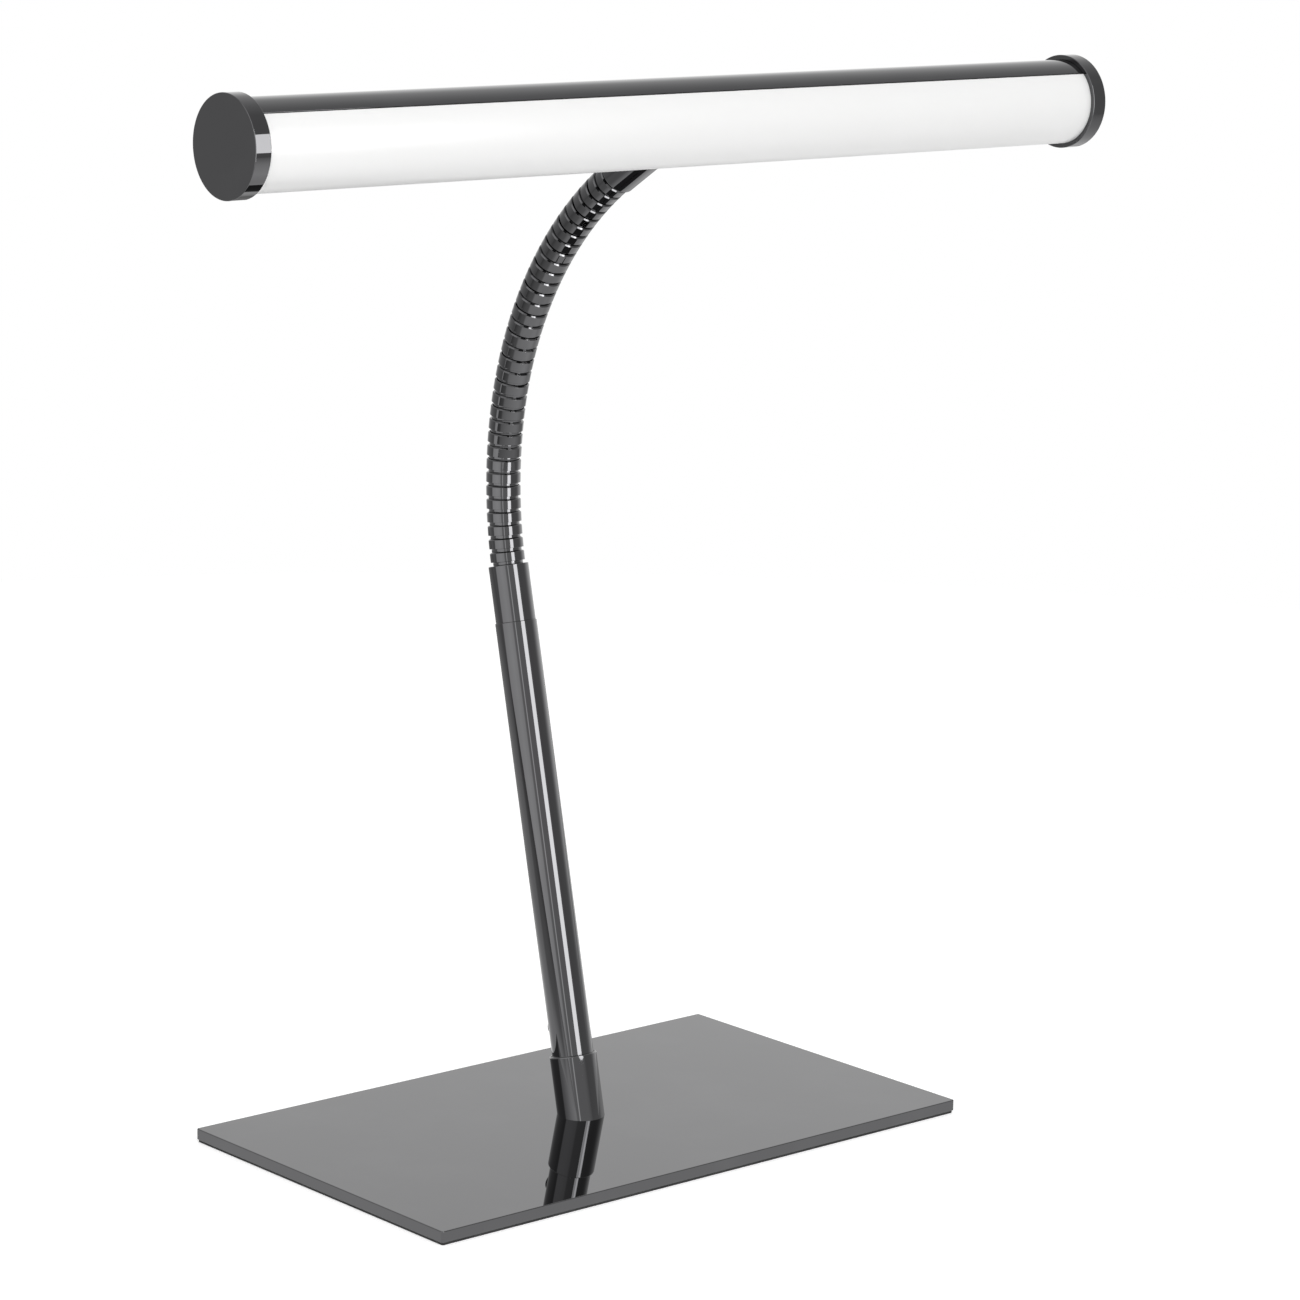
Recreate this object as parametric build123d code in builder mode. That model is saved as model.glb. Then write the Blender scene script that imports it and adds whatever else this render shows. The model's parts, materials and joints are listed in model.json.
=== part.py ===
"""Piano lamp: a flat base plate, a leaning post, a ringed flexible neck and a long tubular head.

The origin is the centre of the base's underside. +Z is up, +X runs along the head and the base's
long side, and -Y is the front, where the light falls. The post and the neck lie in the plane X = 0.
"""

from build123d import *
import os

# Base
base_length = 240.0
base_depth = 140.0
base_height = 5.0
pad_thickness = 1.0
pad_inset = 0.4
base_corner = 0.8
base_edge = 0.3

# Post and its foot
post_lean = 13.0
post_diameter = 15.0
post_wall = 1.5
post_length = 179.2
socket_diameter = 17.0
socket_length = 22.0
socket_floor = 9.0
socket_clearance = 0.05
foot_screw_diameter = 6.0
foot_screw_head = 11.0
foot_screw_end = 10.5
grub_screw_diameter = 4.0
grub_screw_length = 0.8
grub_screw_place = 16.0
grub_screw_socket = 2.0
socket_edge = 0.5
thread_run_out = 1.0
foot_screw_cone = 2.5
foot_screw_tip = 0.5
foot_screw_socket = 4.0
foot_screw_socket_depth = 2.0
foot_screw_clearance = 0.1
grommet_height = 32.0
grommet_hole = 6.0
grommet_rim = 7.4
grommet_bore = 4.4
grommet_rim_height = 0.5
grommet_edge = 0.3

# Collar that ends the post
collar_diameter = 14.4
collar_length = 20.5
collar_spigot = 14.0
collar_edge = 0.3
spigot_clearance = 0.02

# Flexible neck: bands on a row of ball joints
band_count = 34
bands_per_link = 2
band_pitch = 4.79
band_gap = 1.29
band_diameter = 12.4
band_foot_chamfer = 0.1
band_top_chamfer = 0.4
ball_radius = 5.4
ball_depth = 2.0
cup_radius = 5.7
cup_depth = 3.2
neck_bore = 4.0
core_bore = 3.9
core_overlap = 0.9
lower_bands = 12
lower_bend = 1.85
upper_bend = 2.12

# Ferrule that carries the head
ferrule_diameter = 13.8
ferrule_reach = 38.0
ferrule_thread = 10.0
ferrule_thread_end = 8.4
ferrule_bore = 3.5
ferrule_edge = 0.5
saddle_clearance = 0.02
thread_root = 3.0
thread_clearance = 0.1
washer_diameter = 13.0
washer_flat = 11.2
nut_size = 12.0
nut_height = 2.5

# Head tube
head_length = 378.0
cap_diameter = 33.3
cap_width = 6.0
cap_pocket_depth = 4.0
cap_edge = 0.25
tube_diameter = 30.0
tube_end_clearance = 0.1
pocket_clearance = 0.1
shell_wall = 1.2
shell_half_angle = 105.0
diffuser_wall = 1.5
diffuser_tilt = 29.0
split_gap_angle = 1.6
tongue_angle = 1.4
tongue_wall = 0.5
lip_wall = 1.1
lip_half_angle = 6.0
lip_clearance = 0.1

# Light inside the head
carrier_width = 18.0
carrier_thickness = 1.5
carrier_slot_clearance = 0.05
boss_length = 9.0
boss_width = 20.0
boss_height = 6.0
boss_lip = 2.0
carrier_hole_inset = 4.0
led_board_width = 10.0
led_board_length = 350.0
led_board_thickness = 1.2
led_count = 48
led_pitch = 7.2
led_length = 3.5
led_width = 2.8
led_height = 0.7
carrier_screw_diameter = 2.5
carrier_screw_head = 4.5
carrier_screw_head_height = 1.2
carrier_screw_length = 4.5
carrier_screw_end_gap = 0.2
wire_slot_place = 68.0
wire_slot_length = 8.0
wire_slot_width = 3.0
wire_side = 7.0

# Driver board and switch
driver_start = 74.0
driver_length = 88.0
driver_width = 14.0
driver_thickness = 1.2
spacer_height = 3.0
spacer_diameter = 5.0
spacer_inset = 5.0
driver_screw_diameter = 2.5
driver_screw_head = 4.4
driver_screw_head_height = 1.1
terminal_start = 9.0
terminal_length = 8.0
terminal_width = 9.0
terminal_height = 6.4
terminal_entry = 3.0
terminal_depth = 5.0
terminal_clearance = 0.1
inductor_place = 27.0
inductor_width = 9.0
inductor_corner = 2.0
inductor_foot_height = 2.0
inductor_core = 7.2
inductor_core_height = 3.0
capacitor_place = 39.0
capacitor_diameter = 8.0
capacitor_height = 5.6
capacitor_round = 0.6
driver_chip_places = ((50.0, 5.0, 6.0), (59.0, 4.0, 4.0))
driver_chip_height = 1.5
switch_place = 150.0
switch_size = 8.0
switch_height = 4.0
button_diameter = 8.0
button_clearance = 0.08
button_stem = 4.0
button_flange = 9.6
button_flange_height = 0.9
button_flange_top = 12.6
button_top = 17.0
button_stem_end = 9.9
button_round = 0.5
spring_wire = 0.5
spring_radius = 3.1
spring_turns = 3

# Leads
lead_diameter = 3.4
lead_end_gap = 0.1
lead_inlet_gap = 1.1
lead_turn = 5.6
post_lead_bend = 4.2
head_lead_bend = 3.6
head_lead_turn_length = 22.0
head_lead_rise = 58.0
head_lead_sweep = 12.0
head_lead_in_terminal = 4.0
led_wire_diameter = 1.1
led_wire_spacing = 2.4
wire_bend = 0.9
wire_board_place = 4.0
wire_board_side = 5.5
wire_lift = 2.0
outer_wire_lift = 3.4
wire_drop = -4.6
wire_pad_side = 3.4

os.makedirs("parts", exist_ok=True)


# ---------------------------------------------------------------- places
def heading(lean):
    """Unit vector in the plane X = 0 that leans back from the vertical by this many degrees."""
    return Vector(0, 0, 1).rotate(Axis.X, -lean)


def across(lean):
    """Unit vector square to heading(lean) in the same plane, pointing back."""
    return Vector(0, 1, 0).rotate(Axis.X, -lean)


def section_plane(place, lean):
    """Plane whose x is the radius and whose y runs along a turned piece's axis."""
    return Plane(origin=place, x_dir=(1, 0, 0), z_dir=-across(lean))


def cross_plane(place, lean):
    """Plane square to a turned piece's axis."""
    return Plane(origin=place, x_dir=(1, 0, 0), z_dir=heading(lean))


def gap_bend(gap):
    """Degrees that the neck turns forward at this gap."""
    return lower_bend if gap < lower_bands else upper_bend


def post_back(height):
    """Plane on the post's axis, this far up it, that faces the back."""
    return Plane(origin=post_foot + post_axis * height, x_dir=(1, 0, 0), z_dir=across(post_lean))


post_foot = Vector(0, 0, base_height)
post_axis = heading(post_lean)
post_top = post_foot + post_axis * post_length
collar_top = post_top + post_axis * collar_length

gap_centres = [collar_top + post_axis * (band_gap / 2)]
band_leans = [post_lean - gap_bend(0)]
for band in range(1, band_count + 1):
    gap_centres.append(gap_centres[-1] + heading(band_leans[-1]) * band_pitch)
    band_leans.append(band_leans[-1] - gap_bend(band))
ferrule_lean = band_leans[band_count]
ferrule_axis = heading(ferrule_lean)
ferrule_rim = gap_centres[band_count] + ferrule_axis * (band_gap / 2)
head_centre = ferrule_rim + ferrule_axis * ferrule_reach

# In the head's section, y points to the middle of the shell and -y to the middle of the diffuser.
head_up = Vector(0, 1, 0).rotate(Axis.X, diffuser_tilt)
head_side = head_up.cross(Vector(1, 0, 0))
tube_radius = tube_diameter / 2
tube_half = head_length / 2 - cap_width + cap_pocket_depth - tube_end_clearance
pocket_floor = head_length / 2 - cap_width + cap_pocket_depth
shell_inside = tube_radius - shell_wall
diffuser_inside = tube_radius - diffuser_wall
driver_top = spacer_height + driver_thickness


def head_section(place=0.0):
    """Plane across the head at this distance from its middle, with z along the head."""
    return Plane(origin=head_centre + Vector(place, 0, 0), x_dir=head_side, z_dir=(1, 0, 0))


def head_deck(place, height):
    """Plane parallel to the light's carrier: x runs along the head and z towards the shell."""
    origin = head_centre + Vector(place, 0, 0) + head_up * height
    return Plane(origin=origin, x_dir=(1, 0, 0), z_dir=head_up)


def arc_band(inside, outside, start, end):
    """Sketch of a curved strip between two radii and two angles, in degrees from x."""
    with BuildLine() as strip:
        outer = CenterArc((0, 0), outside, start, end - start)
        inner = CenterArc((0, 0), inside, start, end - start)
        Line(outer @ 0, inner @ 0)
        Line(outer @ 1, inner @ 1)
    make_face(strip.edges())


# ---------------------------------------------------------------- base
with BuildPart() as base_plate:
    with BuildSketch(Plane.XY.offset(pad_thickness)):
        RectangleRounded(base_length, base_depth, base_corner)
    extrude(amount=base_height - pad_thickness)
    chamfer(base_plate.faces().sort_by(Axis.Z)[-1].edges(), base_edge)
    with Locations(Plane(origin=(0, 0, pad_thickness), z_dir=(0, 0, -1))):
        CounterSinkHole(
            foot_screw_diameter / 2 + foot_screw_clearance,
            foot_screw_head / 2 + foot_screw_clearance,
            counter_sink_angle=90,
        )
base_plate.part.label = "base_plate"
export_step(base_plate.part, "parts/base_plate.step")

with BuildPart() as base_pad:
    with BuildSketch():
        RectangleRounded(base_length - 2 * pad_inset, base_depth - 2 * pad_inset, base_corner)
    extrude(amount=pad_thickness)
base_pad.part.label = "base_pad"
export_step(base_pad.part, "parts/base_pad.step")

# ---------------------------------------------------------------- foot of the post
with BuildPart() as foot_socket:
    with BuildSketch(cross_plane(post_foot - post_axis * socket_diameter, post_lean)):
        Circle(socket_diameter / 2)
    extrude(amount=socket_diameter + socket_length)
    chamfer(foot_socket.edges().sort_by(Axis.Z)[-1], socket_edge)
    split(bisect_by=Plane.XY.offset(base_height), keep=Keep.TOP)
    with BuildSketch(cross_plane(post_foot + post_axis * socket_floor, post_lean)):
        Circle(post_diameter / 2 + socket_clearance)
    extrude(amount=socket_length, mode=Mode.SUBTRACT)
    with BuildSketch(Plane.XY.offset(base_height)):
        Circle(foot_screw_diameter / 2)
    extrude(amount=foot_screw_end - base_height + thread_run_out, mode=Mode.SUBTRACT)
    with BuildSketch(post_back(grub_screw_place)):
        Circle(grub_screw_diameter / 2)
    extrude(amount=socket_diameter, mode=Mode.SUBTRACT)
foot_socket.part.label = "foot_socket"
export_step(foot_socket.part, "parts/foot_socket.step")

with BuildPart() as foot_screw:
    with BuildSketch(Plane.XZ):
        with BuildLine():
            Polyline(
                (0, pad_thickness),
                (foot_screw_head / 2, pad_thickness),
                (foot_screw_diameter / 2, pad_thickness + foot_screw_cone),
                (foot_screw_diameter / 2, foot_screw_end - foot_screw_tip),
                (foot_screw_diameter / 2 - foot_screw_tip, foot_screw_end),
                (0, foot_screw_end),
                close=True,
            )
        make_face()
    revolve(axis=Axis.Z)
    with BuildSketch(Plane.XY.offset(pad_thickness)):
        RegularPolygon(radius=foot_screw_socket / 2, side_count=6, major_radius=False)
    extrude(amount=foot_screw_socket_depth, mode=Mode.SUBTRACT)
foot_screw.part.label = "foot_screw"
export_step(foot_screw.part, "parts/foot_screw.step")

grub_plane = post_back(grub_screw_place).offset(post_diameter / 2 + socket_clearance)
with BuildPart() as grub_screw:
    with BuildSketch(grub_plane):
        Circle(grub_screw_diameter / 2)
        RegularPolygon(
            radius=grub_screw_socket / 2, side_count=6, major_radius=False, mode=Mode.SUBTRACT
        )
    extrude(amount=grub_screw_length)
grub_screw.part.label = "grub_screw"
export_step(grub_screw.part, "parts/grub_screw.step")

# ---------------------------------------------------------------- post
grommet_seat = post_foot + post_axis * grommet_height
with BuildPart() as post_tube:
    with BuildSketch(cross_plane(post_foot + post_axis * socket_floor, post_lean)):
        Circle(post_diameter / 2)
        Circle(post_diameter / 2 - post_wall, mode=Mode.SUBTRACT)
    extrude(amount=post_length - socket_floor)
    with BuildSketch(post_back(grommet_height)):
        Circle(grommet_hole / 2)
    extrude(amount=post_diameter, mode=Mode.SUBTRACT)
post_tube.part.label = "post_tube"
export_step(post_tube.part, "parts/post_tube.step")

with BuildPart() as cord_grommet:
    with BuildSketch(post_back(grommet_height)):
        Circle(grommet_rim / 2)
    extrude(amount=post_diameter / 2 + grommet_rim_height)
    chamfer(cord_grommet.edges().sort_by(Axis(grommet_seat, across(post_lean)))[-1], grommet_edge)
    with BuildSketch(cross_plane(grommet_seat - post_axis * grommet_rim, post_lean)):
        Circle(post_diameter / 2)
    extrude(amount=2 * grommet_rim, mode=Mode.SUBTRACT)
    with BuildSketch(post_back(grommet_height)):
        Circle(grommet_hole / 2)
    extrude(amount=post_diameter / 2 + grommet_rim_height / 2)
    with BuildSketch(cross_plane(grommet_seat - post_axis * grommet_rim, post_lean)):
        Circle(post_diameter / 2 - post_wall)
    extrude(amount=2 * grommet_rim, mode=Mode.SUBTRACT)
    with BuildSketch(post_back(grommet_height)):
        Circle(grommet_bore / 2)
    extrude(amount=post_diameter, mode=Mode.SUBTRACT)
cord_grommet.part.label = "cord_grommet"
export_step(cord_grommet.part, "parts/cord_grommet.step")


def ball_edge(height, radius):
    """Radius of a ball's section at this height from its centre."""
    return (radius**2 - height**2) ** 0.5


half_gap = band_gap / 2
cup_mouth = ball_edge(half_gap, cup_radius)
cup_floor = ball_edge(cup_depth, cup_radius)
spigot_radius = post_diameter / 2 - post_wall - spigot_clearance

with BuildPart() as post_collar:
    with BuildSketch(section_plane(gap_centres[0], post_lean)):
        with BuildLine():
            Polyline(
                (cup_floor, -cup_depth),
                (neck_bore, -cup_depth),
                (neck_bore, -half_gap - collar_length - collar_spigot),
                (spigot_radius, -half_gap - collar_length - collar_spigot),
                (spigot_radius, -half_gap - collar_length),
                (collar_diameter / 2, -half_gap - collar_length),
                (collar_diameter / 2, -half_gap - collar_edge),
                (collar_diameter / 2 - collar_edge, -half_gap),
                (cup_mouth, -half_gap),
            )
            RadiusArc((cup_mouth, -half_gap), (cup_floor, -cup_depth), cup_radius)
        make_face()
    revolve(axis=Axis(gap_centres[0], post_axis))
post_collar.part.label = "post_collar"
export_step(post_collar.part, "parts/post_collar.step")


# ---------------------------------------------------------------- neck
def neck_link(number):
    """One rigid pair of bands, with a ball below and a cup above."""
    low = number * bands_per_link
    high = low + 1
    low_end = band_pitch - half_gap
    low_axis = Axis(gap_centres[low], heading(band_leans[low]))
    high_axis = Axis(gap_centres[high], heading(band_leans[high]))
    middle_lean = (band_leans[low] + band_leans[high]) / 2
    core_start = gap_centres[high] - heading(middle_lean) * (half_gap + core_overlap)
    with BuildPart() as link:
        with BuildSketch(section_plane(gap_centres[low], band_leans[low])):
            with BuildLine():
                Polyline(
                    (ball_edge(ball_depth, ball_radius), -ball_depth),
                    (neck_bore, -ball_depth),
                    (neck_bore, low_end),
                    (band_diameter / 2 - band_top_chamfer, low_end),
                    (band_diameter / 2, low_end - band_top_chamfer),
                    (band_diameter / 2, half_gap + band_foot_chamfer),
                    (band_diameter / 2 - band_foot_chamfer, half_gap),
                    (ball_edge(half_gap, ball_radius), half_gap),
                )
                RadiusArc(
                    (ball_edge(half_gap, ball_radius), half_gap),
                    (ball_edge(ball_depth, ball_radius), -ball_depth),
                    ball_radius,
                )
            make_face()
        revolve(axis=low_axis)
        with BuildSketch(section_plane(gap_centres[high], band_leans[high])):
            with BuildLine():
                Polyline(
                    (cup_floor, band_pitch - cup_depth),
                    (neck_bore, band_pitch - cup_depth),
                    (neck_bore, half_gap),
                    (band_diameter / 2 - band_foot_chamfer, half_gap),
                    (band_diameter / 2, half_gap + band_foot_chamfer),
                    (band_diameter / 2, low_end - band_top_chamfer),
                    (band_diameter / 2 - band_top_chamfer, low_end),
                    (cup_mouth, low_end),
                )
                RadiusArc((cup_mouth, low_end), (cup_floor, band_pitch - cup_depth), cup_radius)
            make_face()
        revolve(axis=high_axis)
        with BuildSketch(cross_plane(core_start, middle_lean)):
            Circle(ball_radius)
            Circle(core_bore, mode=Mode.SUBTRACT)
        extrude(amount=band_gap + 2 * core_overlap)
    return link


for number in range(band_count // bands_per_link):
    link = neck_link(number)
    link.part.label = f"neck_link_{number + 1:02d}"
    export_step(link.part, f"parts/{link.part.label}.step")

# ---------------------------------------------------------------- ferrule
with BuildPart() as head_ferrule:
    with BuildSketch(section_plane(gap_centres[band_count], ferrule_lean)):
        with BuildLine():
            Polyline(
                (ball_edge(ball_depth, ball_radius), -ball_depth),
                (ferrule_bore, -ball_depth),
                (ferrule_bore, half_gap + ferrule_reach),
                (ferrule_diameter / 2, half_gap + ferrule_reach),
                (ferrule_diameter / 2, half_gap + ferrule_edge),
                (ferrule_diameter / 2 - ferrule_edge, half_gap),
                (ball_edge(half_gap, ball_radius), half_gap),
            )
            RadiusArc(
                (ball_edge(half_gap, ball_radius), half_gap),
                (ball_edge(ball_depth, ball_radius), -ball_depth),
                ball_radius,
            )
        make_face()
    revolve(axis=Axis(gap_centres[band_count], ferrule_axis))
    with BuildSketch(head_section(-cap_diameter)):
        Circle(tube_radius + saddle_clearance)
    extrude(amount=2 * cap_diameter, mode=Mode.SUBTRACT)
    thread_start = tube_radius + thread_root
    with BuildSketch(cross_plane(head_centre - ferrule_axis * thread_start, ferrule_lean)):
        Circle(ferrule_thread / 2)
        Circle(ferrule_bore, mode=Mode.SUBTRACT)
    extrude(amount=thread_start - ferrule_thread_end)
head_ferrule.part.label = "head_ferrule"
export_step(head_ferrule.part, "parts/head_ferrule.step")

with BuildPart() as ferrule_washer:
    with BuildSketch(cross_plane(head_centre - ferrule_axis * tube_radius, ferrule_lean)):
        Circle(washer_diameter / 2)
        Circle(ferrule_thread / 2 + thread_clearance, mode=Mode.SUBTRACT)
    extrude(amount=tube_radius - washer_flat)
    with BuildSketch(head_section(-cap_diameter)):
        Circle(shell_inside - saddle_clearance)
    extrude(amount=2 * cap_diameter, mode=Mode.INTERSECT)
ferrule_washer.part.label = "ferrule_washer"
export_step(ferrule_washer.part, "parts/ferrule_washer.step")

with BuildPart() as ferrule_nut:
    with BuildSketch(cross_plane(head_centre - ferrule_axis * washer_flat, ferrule_lean)):
        RegularPolygon(radius=nut_size / 2, side_count=6, major_radius=False)
        Circle(ferrule_thread / 2, mode=Mode.SUBTRACT)
    extrude(amount=nut_height)
ferrule_nut.part.label = "ferrule_nut"
export_step(ferrule_nut.part, "parts/ferrule_nut.step")

# ---------------------------------------------------------------- head tube
shell_start = 90 - shell_half_angle
shell_end = 90 + shell_half_angle
with BuildPart() as head_shell:
    with BuildSketch(head_section(-tube_half)):
        arc_band(shell_inside, tube_radius, shell_start, shell_end)
        # Thin tongues along both edges close the split line from behind.
        arc_band(
            shell_inside,
            shell_inside + tongue_wall,
            shell_start - tongue_angle,
            shell_end + tongue_angle,
        )
    extrude(amount=2 * tube_half)
    with BuildSketch(cross_plane(head_centre - ferrule_axis * 2 * tube_radius, ferrule_lean)):
        Circle(ferrule_thread / 2 + thread_clearance)
    extrude(amount=2 * tube_radius, mode=Mode.SUBTRACT)
    with BuildSketch(head_deck(switch_place, 0)):
        Circle(button_diameter / 2 + button_clearance)
    extrude(amount=2 * tube_radius, mode=Mode.SUBTRACT)
head_shell.part.label = "head_shell"
export_step(head_shell.part, "parts/head_shell.step")

diffuser_start = shell_end + split_gap_angle
diffuser_end = 360 + shell_start - split_gap_angle
lip_outside = shell_inside - lip_clearance
with BuildPart() as diffuser:
    with BuildSketch(head_section(-tube_half)):
        arc_band(diffuser_inside, tube_radius, diffuser_start, diffuser_end)
        for edge in (shell_end, 360 + shell_start):
            arc_band(
                lip_outside - lip_wall,
                lip_outside,
                edge - lip_half_angle,
                edge + lip_half_angle,
            )
    extrude(amount=2 * tube_half)
diffuser.part.label = "diffuser"
export_step(diffuser.part, "parts/diffuser.step")

boss_inside = pocket_floor - boss_length
boss_low = -carrier_thickness - boss_lip
boss_middle = boss_low + boss_height / 2
carrier_hole = boss_inside + carrier_hole_inset


def slab_across_head(side, near, far):
    """Plane to start from and depth of a slab across the head; side is -1 or 1, near < far."""
    return head_section(near if side > 0 else -far), far - near


def end_cap(side):
    """Cap with a pocket for the tube's end and a slotted boss for the carrier; side is -1 or 1."""
    whole, whole_depth = slab_across_head(side, head_length / 2 - cap_width, head_length / 2)
    pocket, pocket_depth = slab_across_head(side, head_length / 2 - cap_width, pocket_floor)
    boss, boss_depth = slab_across_head(side, boss_inside, pocket_floor)
    with BuildPart() as cap:
        with BuildSketch(whole):
            Circle(cap_diameter / 2)
        extrude(amount=whole_depth)
        chamfer(cap.edges().group_by(Axis.X)[-1 if side > 0 else 0], cap_edge)
        with BuildSketch(pocket):
            Circle(tube_radius + pocket_clearance)
        extrude(amount=pocket_depth, mode=Mode.SUBTRACT)
        with BuildSketch(boss):
            with Locations((0, boss_middle)):
                Rectangle(boss_width, boss_height)
        extrude(amount=boss_depth)
        with BuildSketch(boss):
            with Locations((0, -carrier_thickness / 2)):
                Rectangle(
                    carrier_width + 2 * carrier_slot_clearance,
                    carrier_thickness + 2 * carrier_slot_clearance,
                )
        extrude(amount=boss_depth, mode=Mode.SUBTRACT)
        with BuildSketch(head_deck(side * carrier_hole, boss_low)):
            Circle(carrier_screw_diameter / 2)
        extrude(amount=carrier_screw_length + carrier_screw_end_gap, mode=Mode.SUBTRACT)
    return cap


for side, name in ((-1, "end_cap_left"), (1, "end_cap_right")):
    cap = end_cap(side)
    cap.part.label = name
    export_step(cap.part, f"parts/{name}.step")

# ---------------------------------------------------------------- light
carrier_half = pocket_floor - tube_end_clearance
driver_middle = driver_start + driver_length / 2
driver_holes = (driver_start + spacer_inset, driver_start + driver_length - spacer_inset / 2)
with BuildPart() as led_carrier:
    with BuildSketch(head_section(-carrier_half)):
        with Locations((0, -carrier_thickness / 2)):
            Rectangle(carrier_width, carrier_thickness)
    extrude(amount=2 * carrier_half)
    with BuildSketch(head_deck(0, -carrier_thickness)):
        with Locations((-carrier_hole, 0), (carrier_hole, 0)):
            Circle(carrier_screw_diameter / 2)
        with Locations([(hole, 0) for hole in driver_holes]):
            Circle(driver_screw_diameter / 2)
        with Locations((wire_slot_place, wire_side)):
            SlotOverall(wire_slot_length, wire_slot_width)
    extrude(amount=carrier_thickness, mode=Mode.SUBTRACT)
led_carrier.part.label = "led_carrier"
export_step(led_carrier.part, "parts/led_carrier.step")

with BuildPart() as led_board:
    with BuildSketch(head_deck(0, -carrier_thickness)):
        Rectangle(led_board_length, led_board_width)
    extrude(amount=-led_board_thickness)
led_board.part.label = "led_board"
export_step(led_board.part, "parts/led_board.step")

with BuildPart() as led_chips:
    with BuildSketch(head_deck(0, -carrier_thickness - led_board_thickness)):
        with GridLocations(led_pitch, 1, led_count, 1):
            Rectangle(led_length, led_width)
    extrude(amount=-led_height)
led_chips.part.label = "led_chips"
export_step(led_chips.part, "parts/led_chips.step")

with BuildPart() as carrier_screws:
    with BuildSketch(head_deck(0, boss_low)):
        with Locations((-carrier_hole, 0), (carrier_hole, 0)):
            Circle(carrier_screw_head / 2)
    extrude(amount=-carrier_screw_head_height)
    with BuildSketch(head_deck(0, boss_low)):
        with Locations((-carrier_hole, 0), (carrier_hole, 0)):
            Circle(carrier_screw_diameter / 2)
    extrude(amount=carrier_screw_length)
carrier_screws.part.label = "carrier_screws"
export_step(carrier_screws.part, "parts/carrier_screws.step")

# ---------------------------------------------------------------- driver
with BuildPart() as driver_board:
    with BuildSketch(head_deck(driver_middle, spacer_height)):
        Rectangle(driver_length, driver_width)
        with Locations([(hole - driver_middle, 0) for hole in driver_holes]):
            Circle(driver_screw_diameter / 2, mode=Mode.SUBTRACT)
    extrude(amount=driver_thickness)
driver_board.part.label = "driver_board"
export_step(driver_board.part, "parts/driver_board.step")

with BuildPart() as driver_spacers:
    with BuildSketch(head_deck(0, 0)):
        with Locations([(hole, 0) for hole in driver_holes]):
            Circle(spacer_diameter / 2)
            Circle(driver_screw_diameter / 2, mode=Mode.SUBTRACT)
    extrude(amount=spacer_height)
driver_spacers.part.label = "driver_spacers"
export_step(driver_spacers.part, "parts/driver_spacers.step")

with BuildPart() as driver_screws:
    with BuildSketch(head_deck(0, driver_top)):
        with Locations([(hole, 0) for hole in driver_holes]):
            Circle(driver_screw_head / 2)
    extrude(amount=driver_screw_head_height)
    with BuildSketch(head_deck(0, driver_top)):
        with Locations([(hole, 0) for hole in driver_holes]):
            Circle(driver_screw_diameter / 2)
    extrude(amount=-driver_top - carrier_thickness)
driver_screws.part.label = "driver_screws"
export_step(driver_screws.part, "parts/driver_screws.step")

with BuildPart() as driver_terminal:
    with BuildSketch(head_deck(driver_start + terminal_start + terminal_length / 2, driver_top)):
        Rectangle(terminal_length, terminal_width)
    extrude(amount=terminal_height)
    with BuildSketch(head_section(driver_start + terminal_start)):
        with Locations((0, driver_top + terminal_entry)):
            Circle(lead_diameter / 2 + terminal_clearance)
    extrude(amount=terminal_depth, mode=Mode.SUBTRACT)
driver_terminal.part.label = "driver_terminal"
export_step(driver_terminal.part, "parts/driver_terminal.step")

with BuildPart() as driver_inductor:
    with BuildSketch(head_deck(driver_start + inductor_place, driver_top)):
        RectangleRounded(inductor_width, inductor_width, inductor_corner)
    extrude(amount=inductor_foot_height)
    with BuildSketch(head_deck(driver_start + inductor_place, driver_top + inductor_foot_height)):
        Circle(inductor_core / 2)
    extrude(amount=inductor_core_height)
driver_inductor.part.label = "driver_inductor"
export_step(driver_inductor.part, "parts/driver_inductor.step")

with BuildPart() as driver_capacitor:
    with BuildSketch(head_deck(driver_start + capacitor_place, driver_top)):
        Circle(capacitor_diameter / 2)
    extrude(amount=capacitor_height)
    fillet(driver_capacitor.edges().sort_by(Axis(head_centre, head_up))[-1], capacitor_round)
driver_capacitor.part.label = "driver_capacitor"
export_step(driver_capacitor.part, "parts/driver_capacitor.step")

with BuildPart() as driver_chips:
    for place, length, width in driver_chip_places:
        with BuildSketch(head_deck(driver_start + place, driver_top)):
            Rectangle(length, width)
        extrude(amount=driver_chip_height)
driver_chips.part.label = "driver_chips"
export_step(driver_chips.part, "parts/driver_chips.step")

# ---------------------------------------------------------------- switch
with BuildPart() as switch_body:
    with BuildSketch(head_deck(switch_place, driver_top)):
        Rectangle(switch_size, switch_size)
    extrude(amount=switch_height)
switch_body.part.label = "switch_body"
export_step(switch_body.part, "parts/switch_body.step")

switch_centre = head_centre + Vector(switch_place, 0, 0)
flange_bottom = button_flange_top - button_flange_height
with BuildPart() as switch_button:
    with BuildSketch(Plane(origin=switch_centre, x_dir=(1, 0, 0), z_dir=-head_side)):
        with BuildLine():
            Polyline(
                (0, button_stem_end),
                (button_stem / 2, button_stem_end),
                (button_stem / 2, flange_bottom),
                (button_flange / 2, flange_bottom),
                (button_flange / 2, button_flange_top),
                (button_diameter / 2, button_flange_top),
                (button_diameter / 2, button_top - button_round),
                (button_diameter / 2 - button_round, button_top),
                (0, button_top),
                close=True,
            )
        make_face()
    revolve(axis=Axis(switch_centre, head_up))
switch_button.part.label = "switch_button"
export_step(switch_button.part, "parts/switch_button.step")

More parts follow.
